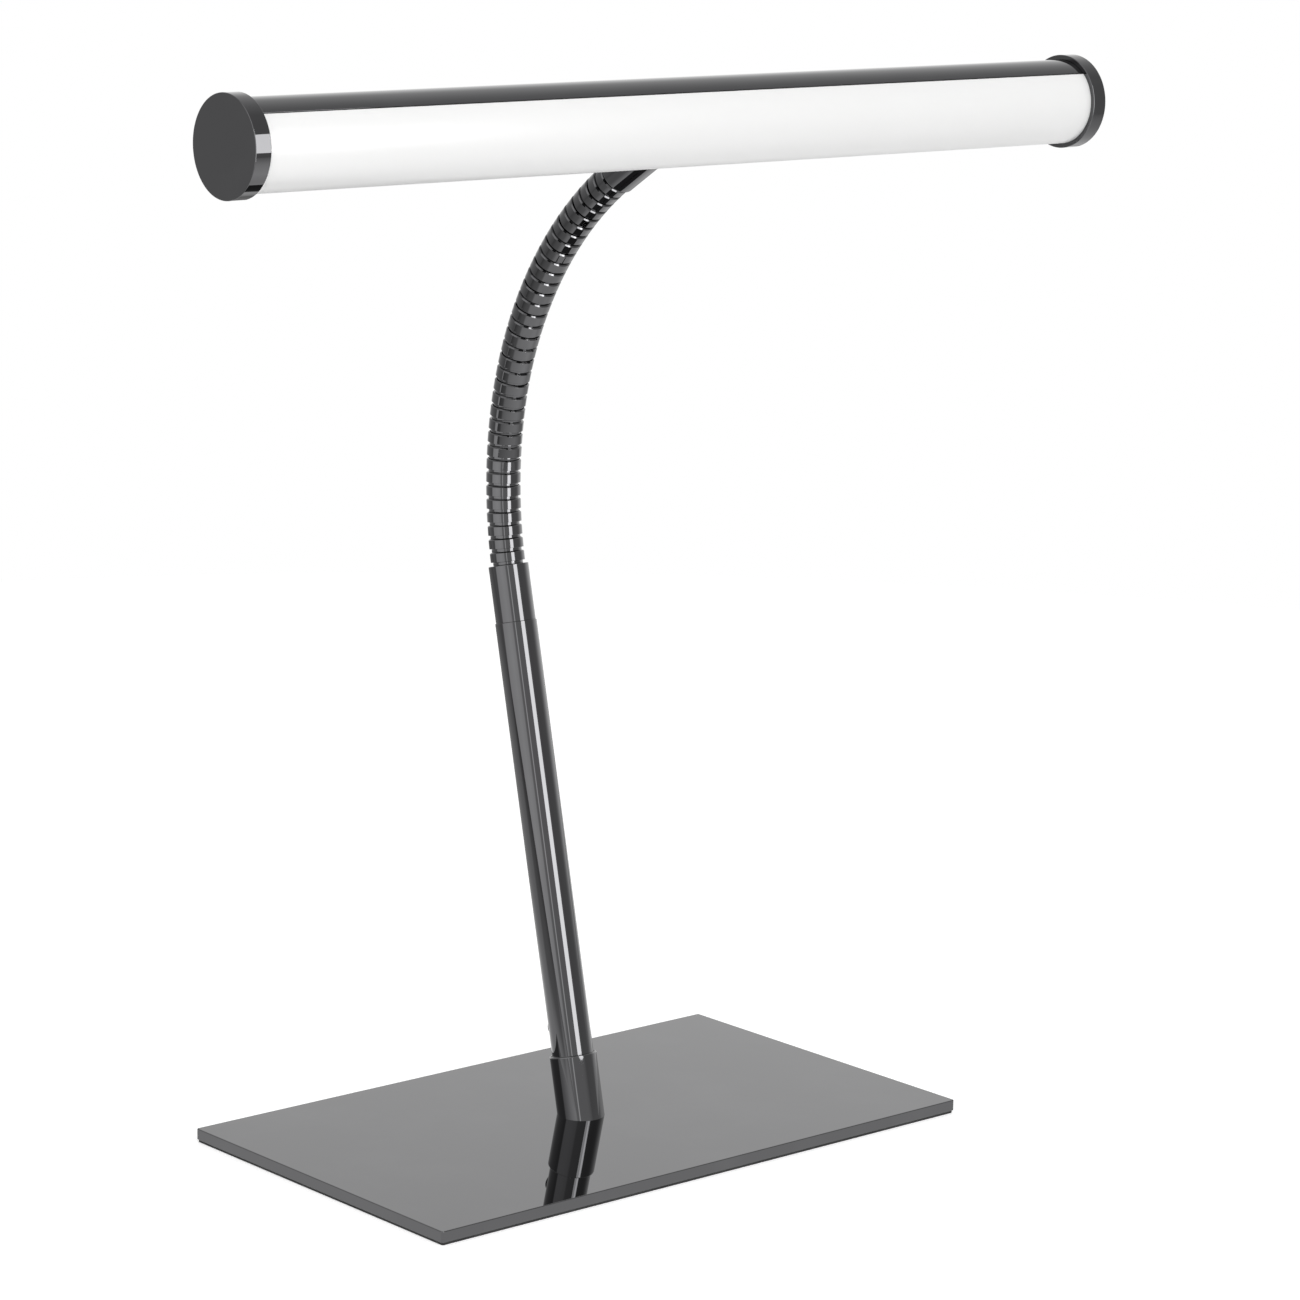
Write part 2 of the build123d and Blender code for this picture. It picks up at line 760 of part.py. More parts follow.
spring_bottom = driver_top + switch_height
spring_height = flange_bottom - spring_bottom - spring_wire
with BuildPart() as switch_spring:
    with BuildLine() as spring_line:
        Helix(pitch=spring_height / spring_turns, height=spring_height, radius=spring_radius)
    with BuildSketch(Plane(origin=spring_line.line @ 0, z_dir=spring_line.line % 0)):
        Circle(spring_wire / 2)
    sweep(path=spring_line.line, is_frenet=True)
spring_plane = head_deck(switch_place, spring_bottom + spring_wire / 2)
spring_part = spring_plane.location * switch_spring.part
spring_part.label = "switch_spring"
export_step(spring_part, "parts/switch_spring.step")


# ---------------------------------------------------------------- leads
def tube_along(route, start, direction, diameter):
    """Round solid swept along a route from its start, inside the current part."""
    with BuildSketch(Plane(origin=start, z_dir=direction)) as section:
        Circle(diameter / 2)
    sweep(section.sketch, path=route)


def in_head(along, side, up):
    """Point in the head: along it, to the ferrule's side of its middle, and towards the shell."""
    return head_centre + Vector(along, 0, 0) + head_side * side + head_up * up


grommet_inside = grommet_seat + across(post_lean) * (post_diameter / 2 - post_wall - lead_inlet_gap)
with BuildPart() as post_lead:
    with BuildLine() as post_route:
        FilletPolyline(
            grommet_inside,
            grommet_seat,
            gap_centres[0] - post_axis * lead_end_gap,
            radius=post_lead_bend,
        )
    tube_along(post_route.line, grommet_inside, -across(post_lean), lead_diameter)
post_lead.part.label = "post_lead"
export_step(post_lead.part, "parts/post_lead.step")

with BuildPart() as neck_lead:
    with BuildLine() as neck_route:
        lower_arc = ThreePointArc(gap_centres[0], gap_centres[lower_bands // 2], gap_centres[lower_bands])
        TangentArc(gap_centres[lower_bands], gap_centres[band_count], tangent=lower_arc % 1)
    tube_along(neck_route.line, gap_centres[0], lower_arc % 0, lead_diameter)
neck_lead.part.label = "neck_lead"
export_step(neck_lead.part, "parts/neck_lead.step")

lead_entry = gap_centres[band_count] + ferrule_axis * lead_end_gap
lead_corner = head_centre - ferrule_axis * lead_turn
terminal_height_in_head = driver_top + terminal_entry
with BuildPart() as head_lead:
    with BuildLine() as head_route:
        FilletPolyline(
            lead_entry,
            lead_corner,
            lead_corner + Vector(head_lead_turn_length, 0, 0),
            in_head(head_lead_rise, 0, terminal_height_in_head),
            in_head(driver_start + terminal_start + head_lead_in_terminal, 0, terminal_height_in_head),
            radius=[head_lead_bend, head_lead_sweep, head_lead_sweep],
        )
    tube_along(head_route.line, lead_entry, ferrule_axis, lead_diameter)
head_lead.part.label = "head_lead"
export_step(head_lead.part, "parts/head_lead.step")

with BuildPart() as led_wires:
    for shift, lift in ((-led_wire_spacing / 2, wire_lift), (led_wire_spacing / 2, outer_wire_lift)):
        board_place = driver_start + wire_board_place + shift
        slot_place = wire_slot_place - shift
        board_end = in_head(board_place, wire_board_side, driver_top)
        with BuildLine() as wire_route:
            FilletPolyline(
                board_end,
                in_head(board_place, wire_board_side, driver_top + lift),
                in_head(slot_place, wire_side, driver_top + lift),
                in_head(slot_place, wire_side, wire_drop),
                in_head(slot_place, wire_pad_side, wire_drop),
                in_head(slot_place, wire_pad_side, -carrier_thickness - led_board_thickness),
                radius=wire_bend,
            )
        tube_along(wire_route.line, board_end, head_up, led_wire_diameter)
led_wires.part.label = "led_wires"
export_step(led_wires.part, "parts/led_wires.step")
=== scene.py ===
"""Piano lamp: the surfaces and finish that show, and a plain studio to see them in.

Metres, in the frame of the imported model: the origin is the centre of the base's underside, +Z is up,
+X runs along the head and -Y is the front.
"""

import json
import math

import bpy
import numpy as np
from bpy.props import FloatProperty, FloatVectorProperty, IntProperty, PointerProperty
from bpy.types import Operator, Panel, PropertyGroup
from mathutils import Matrix


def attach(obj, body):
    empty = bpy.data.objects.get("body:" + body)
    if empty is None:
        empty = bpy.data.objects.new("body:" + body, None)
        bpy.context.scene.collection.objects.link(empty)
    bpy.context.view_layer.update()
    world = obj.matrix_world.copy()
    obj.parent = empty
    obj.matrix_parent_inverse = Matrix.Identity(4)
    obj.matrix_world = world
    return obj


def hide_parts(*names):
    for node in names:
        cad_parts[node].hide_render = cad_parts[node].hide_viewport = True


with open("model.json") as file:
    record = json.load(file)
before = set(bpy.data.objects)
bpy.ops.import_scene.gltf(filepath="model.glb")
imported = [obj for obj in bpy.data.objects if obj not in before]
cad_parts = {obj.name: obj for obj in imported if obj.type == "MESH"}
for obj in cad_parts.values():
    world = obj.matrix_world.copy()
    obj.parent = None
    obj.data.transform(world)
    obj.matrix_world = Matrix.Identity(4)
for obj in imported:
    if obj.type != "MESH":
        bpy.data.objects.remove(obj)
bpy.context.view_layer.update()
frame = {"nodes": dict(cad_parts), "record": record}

bl_info = {
    "name": "Piano Lamp",
    "version": (1, 0, 0),
    "blender": (4, 5, 0),
    "location": "3D View > Sidebar > Piano Lamp",
    "description": "Builds the visible surfaces, finishes and studio of a piano lamp",
    "category": "Add Mesh",
}

WELD = 1e-6
# An odd part of a cell, so that no round size lies on the border of two cells.
LATTICE_OFFSET = 0.371
ARC_STEPS = 4
# Clearances between pieces, in metres.
TIGHT, SNUG, SLIDING, EASY = 0.00002, 0.00005, 0.00008, 0.0001


# ---------------------------------------------------------------- settings
def length(name, default, description):
    """A length in metres."""
    return FloatProperty(name=name, default=default, min=0.0, subtype="DISTANCE", unit="LENGTH",
                         precision=5, description=description)


def angle(name, degrees, description):
    """An angle, given here in degrees."""
    return FloatProperty(name=name, default=math.radians(degrees), subtype="ANGLE", unit="ROTATION",
                         description=description)


def share(name, default, description, top=1.0):
    """A plain number from 0 to top."""
    return FloatProperty(name=name, default=default, min=0.0, max=top, subtype="FACTOR",
                         description=description)


def colour(name, default, description):
    """A linear colour."""
    return FloatVectorProperty(name=name, default=default, size=3, min=0.0, max=1.0, subtype="COLOR",
                               description=description)


class LampSizes(PropertyGroup):
    """Sizes of the lamp's pieces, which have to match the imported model."""

    base_length: length("Base length", 0.24, "Length of the base plate")
    base_depth: length("Base depth", 0.14, "Depth of the base plate")
    base_top: length("Base top", 0.005, "Height of the base plate's top")
    pad_thickness: length("Pad thickness", 0.001, "Thickness of the pad under the base plate")
    pad_inset: length("Pad inset", 0.0004, "How far the pad stays inside the plate's edge")
    base_corner: length("Base corner", 0.0008, "Corner radius of the base plate seen from above")
    base_edge: length("Base edge", 0.0003, "Rounding of the base plate's top edge")
    screw_hole: length("Screw hole", 0.0031, "Radius of the hole for the foot screw")
    screw_sink: length("Screw sink", 0.0056, "Radius of that hole's countersink")
    post_lean: angle("Post lean", 13.0, "How far the post leans back from the vertical")
    post_radius: length("Post radius", 0.0075, "Radius of the post tube")
    post_wall: length("Post wall", 0.0015, "Wall of the post tube")
    post_length: length("Post length", 0.1792, "Length of the post from the base to the collar")
    socket_radius: length("Socket radius", 0.0085, "Radius of the socket at the post's foot")
    socket_length: length("Socket length", 0.022, "Length of the socket above the base")
    socket_floor: length("Socket floor", 0.009, "Height in the socket at which the post tube starts")
    grub_place: length("Grub screw place", 0.016, "Height of the grub screw up the socket")
    grub_radius: length("Grub screw radius", 0.002, "Radius of the grub screw's hole")
    grommet_place: length("Grommet place", 0.032, "Height of the cord grommet up the post")
    grommet_radius: length("Grommet radius", 0.0037, "Radius of the cord grommet's rim")
    grommet_neck: length("Grommet neck", 0.003, "Radius of the hole that the grommet sits in")
    grommet_bore: length("Grommet bore", 0.0022, "Radius of the grommet's bore")
    grommet_height: length("Grommet height", 0.0005, "How far the grommet's rim stands out of the post")
    grommet_edge: length("Grommet edge", 0.0003, "Rounding of the grommet's rim")
    collar_radius: length("Collar radius", 0.0072, "Radius of the collar on the post")
    collar_length: length("Collar length", 0.0205, "Length of the collar that shows")
    collar_spigot: length("Collar spigot", 0.014, "Length of the collar inside the post")
    bands: IntProperty(name="Bands", default=34, min=2, description="Number of bands of the flexible neck")
    lower_bands: IntProperty(name="Lower bands", default=12, min=1,
                             description="Bands of the lower part, which bends less")
    band_radius: length("Band radius", 0.0062, "Radius of a neck band")
    band_pitch: length("Band pitch", 0.00479, "Distance from one gap to the next")
    band_gap: length("Band gap", 0.00129, "Width of the gap between two bands")
    band_edge: length("Band edge", 0.00006, "Rounding of a band's edges")
    band_chamfer: length("Band chamfer", 0.0004, "Chamfer of a band's upper edge")
    lower_bend: angle("Lower bend", 1.85, "Turn at each gap of the lower part")
    upper_bend: angle("Upper bend", 2.12, "Turn at each gap of the upper part")
    ball_radius: length("Ball radius", 0.0054, "Radius of the ball at the foot of each neck link")
    ball_depth: length("Ball depth", 0.002, "Depth of that ball below the middle of its gap")
    cup_radius: length("Cup radius", 0.0057, "Radius of the cup at the top of each neck link")
    cup_depth: length("Cup depth", 0.0032, "Depth of that cup below the middle of its gap")
    neck_bore: length("Neck bore", 0.004, "Radius of the bore through the neck")
    lead_radius: length("Lead radius", 0.0017, "Radius of the lead through the neck")
    ferrule_radius: length("Ferrule radius", 0.0069, "Radius of the ferrule that carries the head")
    ferrule_reach: length("Ferrule reach", 0.038, "Distance from the ferrule's rim to the head's axis")
    ferrule_thread: length("Ferrule thread", 0.005, "Radius of the ferrule's threaded end")
    ferrule_bore: length("Ferrule bore", 0.0035, "Radius of the ferrule's bore")
    ferrule_end: length("Ferrule end", 0.0084, "Distance from the threaded end to the head's axis")
    head_length: length("Head length", 0.378, "Length of the head over its caps")
    tube_radius: length("Tube radius", 0.015, "Radius of the head's tube")
    tube_half: length("Tube half length", 0.1869, "Half of the length of the head's tube")
    cap_radius: length("Cap radius", 0.01665, "Radius of the end caps")
    cap_width: length("Cap width", 0.006, "Width of the end caps")
    cap_pocket: length("Cap pocket", 0.004, "Depth of the pocket that holds the tube's end")
    cap_edge: length("Cap edge", 0.00025, "Rounding of a cap's edges")
    shell_wall: length("Shell wall", 0.0012, "Wall of the metal shell")
    diffuser_wall: length("Diffuser wall", 0.0015, "Wall of the opal diffuser")
    shell_half: angle("Shell half angle", 105.0, "Half of the angle that the metal shell wraps round")
    split_gap: angle("Split gap", 1.6, "Gap between the shell and the diffuser")
    tongue: angle("Tongue", 1.4, "How far a thin tongue of the shell runs behind that gap")
    tongue_wall: length("Tongue wall", 0.0005, "Thickness of that tongue")
    tilt: angle("Head tilt", 29.0, "Elevation of the middle of the metal shell at the back")
    button_place: length("Button place", 0.15, "Distance of the push-button from the head's middle")
    button_radius: length("Button radius", 0.004, "Radius of the push-button")
    button_top: length("Button top", 0.017, "Distance of the push-button's top from the head's axis")


class LampFinish(PropertyGroup):
    """Colours and gloss of the lamp's finishes."""

    nickel: colour("Black nickel", (0.100, 0.100, 0.103), "Colour of the plated metal")
    nickel_worn: colour("Worn nickel", (0.17, 0.17, 0.172), "Colour of the plating on rubbed edges")
    nickel_roughness: share("Nickel roughness", 0.015, "Roughness of the clean plated metal")
    smudge_roughness: share("Smudge roughness", 0.045, "Roughness of the plated metal where handled")
    opal: colour("Opal", (0.93, 0.93, 0.925), "Colour of the diffuser")
    opal_roughness: share("Opal roughness", 0.32, "Roughness of the diffuser's satin face")
    rubber: colour("Rubber", (0.035, 0.035, 0.036), "Colour of the pad and the grommet")


class StudioLook(PropertyGroup):
    """Light and floor of the studio."""

    ambient: share("Ambient", 0.72, "Strength of the even light on every surface", 4.0)
    key: share("Key light", 2.05, "Brightness of the large soft light above the front", 40.0)
    line: share("Line light", 6.0, "Brightness of the tall narrow light that the post mirrors", 40.0)
    cap: share("Cap light", 5.0, "Brightness of the small light that the left cap's rim mirrors", 40.0)
    floor_radius: length("Floor radius", 1.1, "Radius of the floor")
    floor_tone: colour("Floor colour", (0.89, 0.89, 0.89), "Colour of the floor")


def sizes():
    return bpy.context.scene.piano_lamp_sizes


def finish():
    return bpy.context.scene.piano_lamp_finish


def studio():
    return bpy.context.scene.piano_lamp_studio


# ---------------------------------------------------------------- directions and places
X = np.array([1.0, 0.0, 0.0])
UP = np.array([0.0, 0.0, 1.0])


def heading(lean):
    """Unit vector in the plane X = 0 that leans back from the vertical by this angle."""
    return np.array([0.0, math.sin(lean), math.cos(lean)])


def across(lean):
    """Unit vector square to heading(lean) in the same plane, pointing back."""
    return np.array([0.0, math.cos(lean), -math.sin(lean)])


def post_foot():
    return np.array([0.0, 0.0, sizes().base_top])


def neck_line():
    """Centres of the gaps and leans of the bands: each band starts at the middle of a gap and runs one
    pitch along its own heading, and each gap turns the heading forward by its bend."""
    s = sizes()
    bend = np.where(np.arange(s.bands + 1) < s.lower_bands, s.lower_bend, s.upper_bend)
    leans = s.post_lean - np.cumsum(bend)
    start = post_foot() + heading(s.post_lean) * (s.post_length + s.collar_length + s.band_gap / 2)
    steps = np.stack([np.zeros(s.bands), np.sin(leans[:-1]), np.cos(leans[:-1])], axis=1) * s.band_pitch
    return start + np.vstack([np.zeros(3), np.cumsum(steps, axis=0)]), leans


def head_frame():
    """Centre of the head, the direction of the middle of its shell, and the direction square to it."""
    s = sizes()
    gaps, leans = neck_line()
    centre = gaps[-1] + heading(leans[-1]) * (s.band_gap / 2 + s.ferrule_reach)
    up = np.array([0.0, math.cos(s.tilt), math.sin(s.tilt)])
    return centre, np.cross(up, X), up


# ---------------------------------------------------------------- surfaces
class Skin:
    """Patches of a surface that are joined into one closed mesh, each with its exact normals."""

    def __init__(self):
        self.points, self.normals, self.edges, self.quads, self.count = [], [], [], [], 0

    def patch(self, points, normals, edge=0.0, keep=None):
        """Points on a grid, shape (rows, columns, 3), with an outward normal for each or one for many. edge
        is 1 where the surface is an edge that wears. keep is a mask of the grid's cells."""
        rows, columns = points.shape[:2]
        index = self.count + np.arange(rows * columns).reshape(rows, columns)
        quads = np.stack([index[:-1, :-1], index[1:, :-1], index[1:, 1:], index[:-1, 1:]], axis=-1)
        self.quads.append(quads.reshape(-1, 4) if keep is None else quads[keep])
        self.points.append(points.reshape(-1, 3))
        self.normals.append(np.broadcast_to(normals, points.shape).reshape(-1, 3))
        self.edges.append(np.broadcast_to(edge, (rows, columns)).reshape(-1))
        self.count += rows * columns

    def build(self, name):
        """Weld points that fall in the same cell of a fine lattice, turn each face to the side that its
        normals point to, drop the corners that welding doubled, and keep the normals."""
        points, normals = np.concatenate(self.points), np.concatenate(self.normals)
        edges, quads = np.concatenate(self.edges), np.concatenate(self.quads)
        lattice = np.floor(points / WELD + LATTICE_OFFSET).astype(np.int64)
        _, first, same = np.unique(lattice, axis=0, return_index=True, return_inverse=True)
        same = same.reshape(-1)
        place = points[quads]
        facing = np.cross(place[:, 2] - place[:, 0], place[:, 3] - place[:, 1])
        inside = np.einsum("ij,ij->i", facing, normals[quads].sum(axis=1)) < 0
        quads[inside] = quads[inside][:, ::-1]
        corner = same[quads]
        single = corner != np.roll(corner, -1, axis=1)
        real = single.sum(axis=1) > 2
        quads, corner, single = quads[real], corner[real], single[real]
        sides = single.sum(axis=1)
        mesh = bpy.data.meshes.new(name)
        mesh.vertices.add(len(first))
        mesh.vertices.foreach_set("co", points[first].reshape(-1))
        mesh.loops.add(int(sides.sum()))
        mesh.loops.foreach_set("vertex_index", corner[single])
        mesh.polygons.add(len(quads))
        mesh.polygons.foreach_set("loop_start", np.concatenate([[0], np.cumsum(sides)[:-1]]))
        mesh.update(calc_edges=True)
        mesh.polygons.foreach_set("use_smooth", np.ones(len(quads), dtype=bool))
        wear = mesh.attributes.new("edge", "FLOAT", "CORNER")
        wear.data.foreach_set("value", edges[quads][single])
        mesh.normals_split_custom_set(normals[quads][single].tolist())
        piece = bpy.data.objects.new(name, mesh)
        bpy.context.scene.collection.objects.link(piece)
        return piece


def run(*corners):
    """Rows of a turned profile from corners (along, radius, rounding), with the outside on the left of the
    way they are walked. A corner with rounding becomes a tangent arc, and one without gets two rows, one
    for each side's normal. Each row is (along, radius, normal along, normal outward, edge)."""
    place = np.array([corner[:2] for corner in corners], dtype=float)
    rounding = np.array([corner[2] if len(corner) > 2 else 0.0 for corner in corners])
    way = np.diff(place, axis=0)
    way /= np.linalg.norm(way, axis=1)[:, None]
    before, after = np.vstack([way[:1], way]), np.vstack([way, way[-1:]])
    turn = np.arctan2(before[:, 0] * after[:, 1] - before[:, 1] * after[:, 0], (before * after).sum(axis=1))
    step = np.linspace(0.0, 1.0, ARC_STEPS + 1)
    heading_angle = np.arctan2(before[:, 1], before[:, 0])[:, None] + turn[:, None] * step
    normal = np.stack([-np.sin(heading_angle), np.cos(heading_angle)], axis=-1)
    reach = rounding * np.tan(np.abs(turn) / 2)
    left = np.stack([-before[:, 1], before[:, 0]], axis=1)
    centre = place - before * reach[:, None] + left * (rounding * np.sign(turn))[:, None]
    rows = centre[:, None] - normal * (rounding * np.sign(turn))[:, None, None]
    worn = np.broadcast_to(((rounding > 0) * (turn < 0))[:, None] * np.sin(np.pi * step), rows.shape[:2])
    rows = np.concatenate([rows, normal, worn[..., None]], axis=-1)
    used = (rounding > 0)[:, None] | np.isin(step, (0.0, 1.0))
    used[0, 1:], used[-1, :-1] = False, False
    return rows[used]


def ball(radius, start, end, side=1.0, steps=8):
    """Rows of a ball's section: radius at a height = root of R^2 - height^2. side is -1 for a cup."""
    along = np.linspace(start, end, steps + 1)
    out = np.sqrt(radius**2 - along**2)
    return np.stack([along, out, side * along / radius, side * out / radius, np.zeros(steps + 1)], axis=1)


def shifted(rows, distance):
    """The same rows, moved along the axis."""
    return rows + np.array([distance, 0.0, 0.0, 0.0, 0.0])


def around(segments):
    """Angles of a full turn, with the first repeated at the end."""
    return np.linspace(0.0, 2 * np.pi, segments + 1)


def spoke(turn, u, v):
    """Unit vectors at these angles, from u towards v."""
    return np.cos(turn)[..., None] * u + np.sin(turn)[..., None] * v


def turned(skin, rows, origin, axis, u, v, angles, lift=0.0):
    """A profile turned about an axis: point = origin + axis * (along + lift) + radius * (u cos + v sin).
    origin, axis, u and v are vectors, or one for each row. lift is a number or a (rows, columns) grid."""
    out = spoke(angles[None], np.atleast_2d(u)[:, None], np.atleast_2d(v)[:, None])
    along = np.broadcast_to(rows[:, 0, None] + lift, (len(rows), len(angles)))
    axis, origin = np.atleast_2d(axis)[:, None], np.atleast_2d(origin)[:, None]
    points = origin + axis * along[..., None] + rows[:, 1, None, None] * out
    normals = rows[:, 2, None, None] * axis + rows[:, 3, None, None] * out
    skin.patch(points, normals, rows[:, 4, None])


def spans(edges, cells):
    """Stations from edge to edge, each span cut into its own number of equal cells."""
    parts = [np.linspace(a, b, n + 1)[:-1] for a, b, n in zip(edges[:-1], edges[1:], cells)]
    return np.concatenate(parts + [[edges[-1]]])


def drilled(skin, radius, angles, places, holes, origin, axis, u, v, side=1.0):
    """A sheet on a cylinder, at radius * (u cos + v sin) + axis * place for each angle and place, with round
    holes. The cells inside a hole's window are left out, and rings that run from the window's square border
    to the circle take their place. holes are (angle, place, radius, window angle, window place)."""
    def spot(turn, place):
        out = spoke(turn, u, v)
        return origin + radius * out + np.asarray(place)[..., None] * axis, side * out

    turn, place = np.meshgrid(angles, places, indexing="ij")
    middle_turn, middle_place = (angles[1:] + angles[:-1]) / 2, (places[1:] + places[:-1]) / 2
    keep = np.ones((len(angles) - 1, len(places) - 1), dtype=bool)
    for hole_turn, hole_place, hole_radius, reach_turn, reach_place in holes:
        near_turn = np.abs(middle_turn - hole_turn) < reach_turn
        near_place = np.abs(middle_place - hole_place) < reach_place
        keep &= ~(near_turn[:, None] & near_place[None, :])
        i = np.flatnonzero(near_turn)
        j = np.flatnonzero(near_place)
        a, b = angles[i[0]:i[-1] + 2], places[j[0]:j[-1] + 2]
        border_turn = np.concatenate([a, np.full(len(b) - 1, a[-1]), a[-2::-1], np.full(len(b) - 1, a[0])])
        border_place = np.concatenate([np.full(len(a), b[0]), b[1:], np.full(len(a) - 1, b[-1]), b[-2::-1]])
        circle = np.arctan2((border_place - hole_place) / reach_place, (border_turn - hole_turn) / reach_turn)
        circle_turn = hole_turn + np.arcsin(np.cos(circle) * hole_radius / radius)
        circle_place = hole_place + np.sin(circle) * hole_radius
        step = np.linspace(0.0, 1.0, 6)[:, None]
        ring_turn = border_turn + (circle_turn - border_turn) * step
        ring_place = border_place + (circle_place - border_place) * step
        skin.patch(*spot(ring_turn, ring_place))
    skin.patch(*spot(turn, place), keep=keep)


def bored(skin, hole, outside, inside, cells, origin, axis, u, v):
    """The wall of a hole drilled along a radius, from one cylinder's surface to another's: at angle c round
    the hole, a point is hole radius * (cos c across + sin c along), at the height where it meets the
    cylinder."""
    hole_turn, hole_place, hole_radius = hole[:3]
    side = np.linspace(-1.0, 1.0, cells + 1)
    border = np.concatenate([side, np.ones(cells), side[-2::-1], -np.ones(cells)])
    other = np.concatenate([-np.ones(cells + 1), side[1:], np.ones(cells), side[-2::-1]])
    circle = np.arctan2(other, border)
    way = math.cos(hole_turn) * u + math.sin(hole_turn) * v
    lateral = -math.sin(hole_turn) * u + math.cos(hole_turn) * v
    out = spoke(circle, lateral, axis)
    offset = np.cos(circle) * hole_radius
    height = np.stack([np.sqrt(outside**2 - offset**2), np.sqrt(inside**2 - offset**2)])
    points = origin + hole_place * axis + hole_radius * out[None] + height[..., None] * way
    skin.patch(points, -out)


def sheet_between(skin, first, second, normal):
    """A ruled strip between two rows of points, all with one normal or one for each column."""
    skin.patch(np.stack([first, second]), normal)


# ---------------------------------------------------------------- finishes
def new_group(name, inputs, outputs):
    """An empty shader node group with float sockets, and its ends."""
    group = bpy.data.node_groups.new(name, "ShaderNodeTree")
    for label, default in inputs:
        socket = group.interface.new_socket(label, in_out="INPUT", socket_type="NodeSocketFloat")
        socket.default_value = default
    for label in outputs:
        group.interface.new_socket(label, in_out="OUTPUT", socket_type="NodeSocketFloat")
    return group, group.nodes.new("NodeGroupInput"), group.nodes.new("NodeGroupOutput")


def place(tree, kind, sources=None, **values):
    """A node with its properties set. sources maps inputs to the sockets or values that they take."""
    made = tree.nodes.new(kind)
    for key, value in values.items():
        setattr(made, key, value)
    for key, value in (sources or {}).items():
        if isinstance(value, bpy.types.NodeSocket):
            tree.links.new(value, made.inputs[key])
        else:
            made.inputs[key].default_value = value
    return made


def ranged(tree, value, low, high, to_low, to_high):
    """A value remapped from one range to another, clamped."""
    node = place(tree, "ShaderNodeMapRange", {"Value": value, "From Min": low, "From Max": high,
                                              "To Min": to_low, "To Max": to_high})
    return node.outputs["Result"]


def noise(tree, vector, scale, detail, **more):
    """Fractal noise from 0 to 1."""
    sources = {"Vector": vector, "Scale": scale, "Detail": detail, **more}
    return place(tree, "ShaderNodeTexNoise", sources).outputs["Fac"]


def arithmetic(tree, operation, *terms):
    """A value worked out from two or three others."""
    return place(tree, "ShaderNodeMath", dict(enumerate(terms)), operation=operation).outputs[0]


def toned(tint, factor):
    """The same hue, darker or lighter."""
    return tuple(c * factor for c in tint)


def handling_group():
    """Smudges, hairline marks and the faint waviness of polished plate, from noise at three scales."""
    if "Handling" in bpy.data.node_groups:
        return bpy.data.node_groups["Handling"]
    group, inner, outer = new_group("Handling", [("Scale", 1.0)], ["Smudge", "Hairline", "Waviness"])
    coords = place(group, "ShaderNodeTexCoord").outputs["Object"]
    scaled = place(group, "ShaderNodeVectorMath", {0: coords}, operation="SCALE")
    group.links.new(inner.outputs["Scale"], scaled.inputs["Scale"])
    vector = scaled.outputs[0]
    blots = noise(group, vector, 34.0, 4.0, Roughness=0.6)
    group.links.new(ranged(group, blots, 0.48, 0.72, 0.0, 1.0), outer.inputs["Smudge"])
    stretch = place(group, "ShaderNodeMapping", {"Vector": vector, "Scale": (60.0, 900.0, 700.0),
                                                 "Rotation": (0.5, 0.3, 0.9)})
    lines = noise(group, stretch.outputs[0], 1.0, 2.0)
    group.links.new(ranged(group, lines, 0.66, 0.74, 0.0, 1.0), outer.inputs["Hairline"])
    group.links.new(noise(group, vector, 22.0, 1.0), outer.inputs["Waviness"])
    return group


def edge_group():
    """Rubbed edges: the mesh's edge attribute, broken up by noise."""
    if "Rubbed edge" in bpy.data.node_groups:
        return bpy.data.node_groups["Rubbed edge"]
    group, inner, outer = new_group("Rubbed edge", [("Amount", 0.5), ("Scale", 900.0)], ["Mask"])
    edge = place(group, "ShaderNodeAttribute", attribute_name="edge")
    coords = place(group, "ShaderNodeTexCoord").outputs["Object"]
    broken = ranged(group, noise(group, coords, inner.outputs["Scale"], 3.0), 0.35, 0.7, 0.35, 1.0)
    worn = arithmetic(group, "MULTIPLY", edge.outputs["Fac"], broken)
    mask = arithmetic(group, "MULTIPLY", worn, inner.outputs["Amount"])
    group.links.new(mask, outer.inputs["Mask"])
    return group


def grain_group():
    """Fine moulded or cast grain, and slow changes of tone, from noise."""
    if "Grain" in bpy.data.node_groups:
        return bpy.data.node_groups["Grain"]
    group, inner, outer = new_group("Grain", [("Scale", 2000.0), ("Tone scale", 60.0)],
                                    ["Height", "Tone", "Speck"])
    coords = place(group, "ShaderNodeTexCoord").outputs["Object"]
    fine = noise(group, coords, inner.outputs["Scale"], 3.0)
    slow = noise(group, coords, inner.outputs["Tone scale"], 3.0)
    group.links.new(fine, outer.inputs["Height"])
    group.links.new(ranged(group, slow, 0.3, 0.7, 0.0, 1.0), outer.inputs["Tone"])
    group.links.new(ranged(group, fine, 0.62, 0.7, 0.0, 1.0), outer.inputs["Speck"])
    return group


def new_material(name):
    """A material with only its Principled shader, and its tree. Its name is not a slot's own, because the
    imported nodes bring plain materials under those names."""
    material = bpy.data.materials.new(f"{name} finish")
    material.use_nodes = True
    return material, material.node_tree, material.node_tree.nodes["Principled BSDF"]


def mixed(tree, mask, first, second):
    """Colour between two colours by a mask."""
    node = place(tree, "ShaderNodeMix", {"Factor": mask}, data_type="RGBA")
    for slot, value in ((6, first), (7, second)):
        if isinstance(value, bpy.types.NodeSocket):
            tree.links.new(value, node.inputs[slot])
        else:
            node.inputs[slot].default_value = (*value, 1.0)
    return node.outputs[2]


def bumped(tree, shader, height, distance):
    """Bump from a height, distance in metres at a height of 1."""
    bump = place(tree, "ShaderNodeBump", {"Height": height, "Strength": 1.0, "Distance": distance})
    tree.links.new(bump.outputs["Normal"], shader.inputs["Normal"])


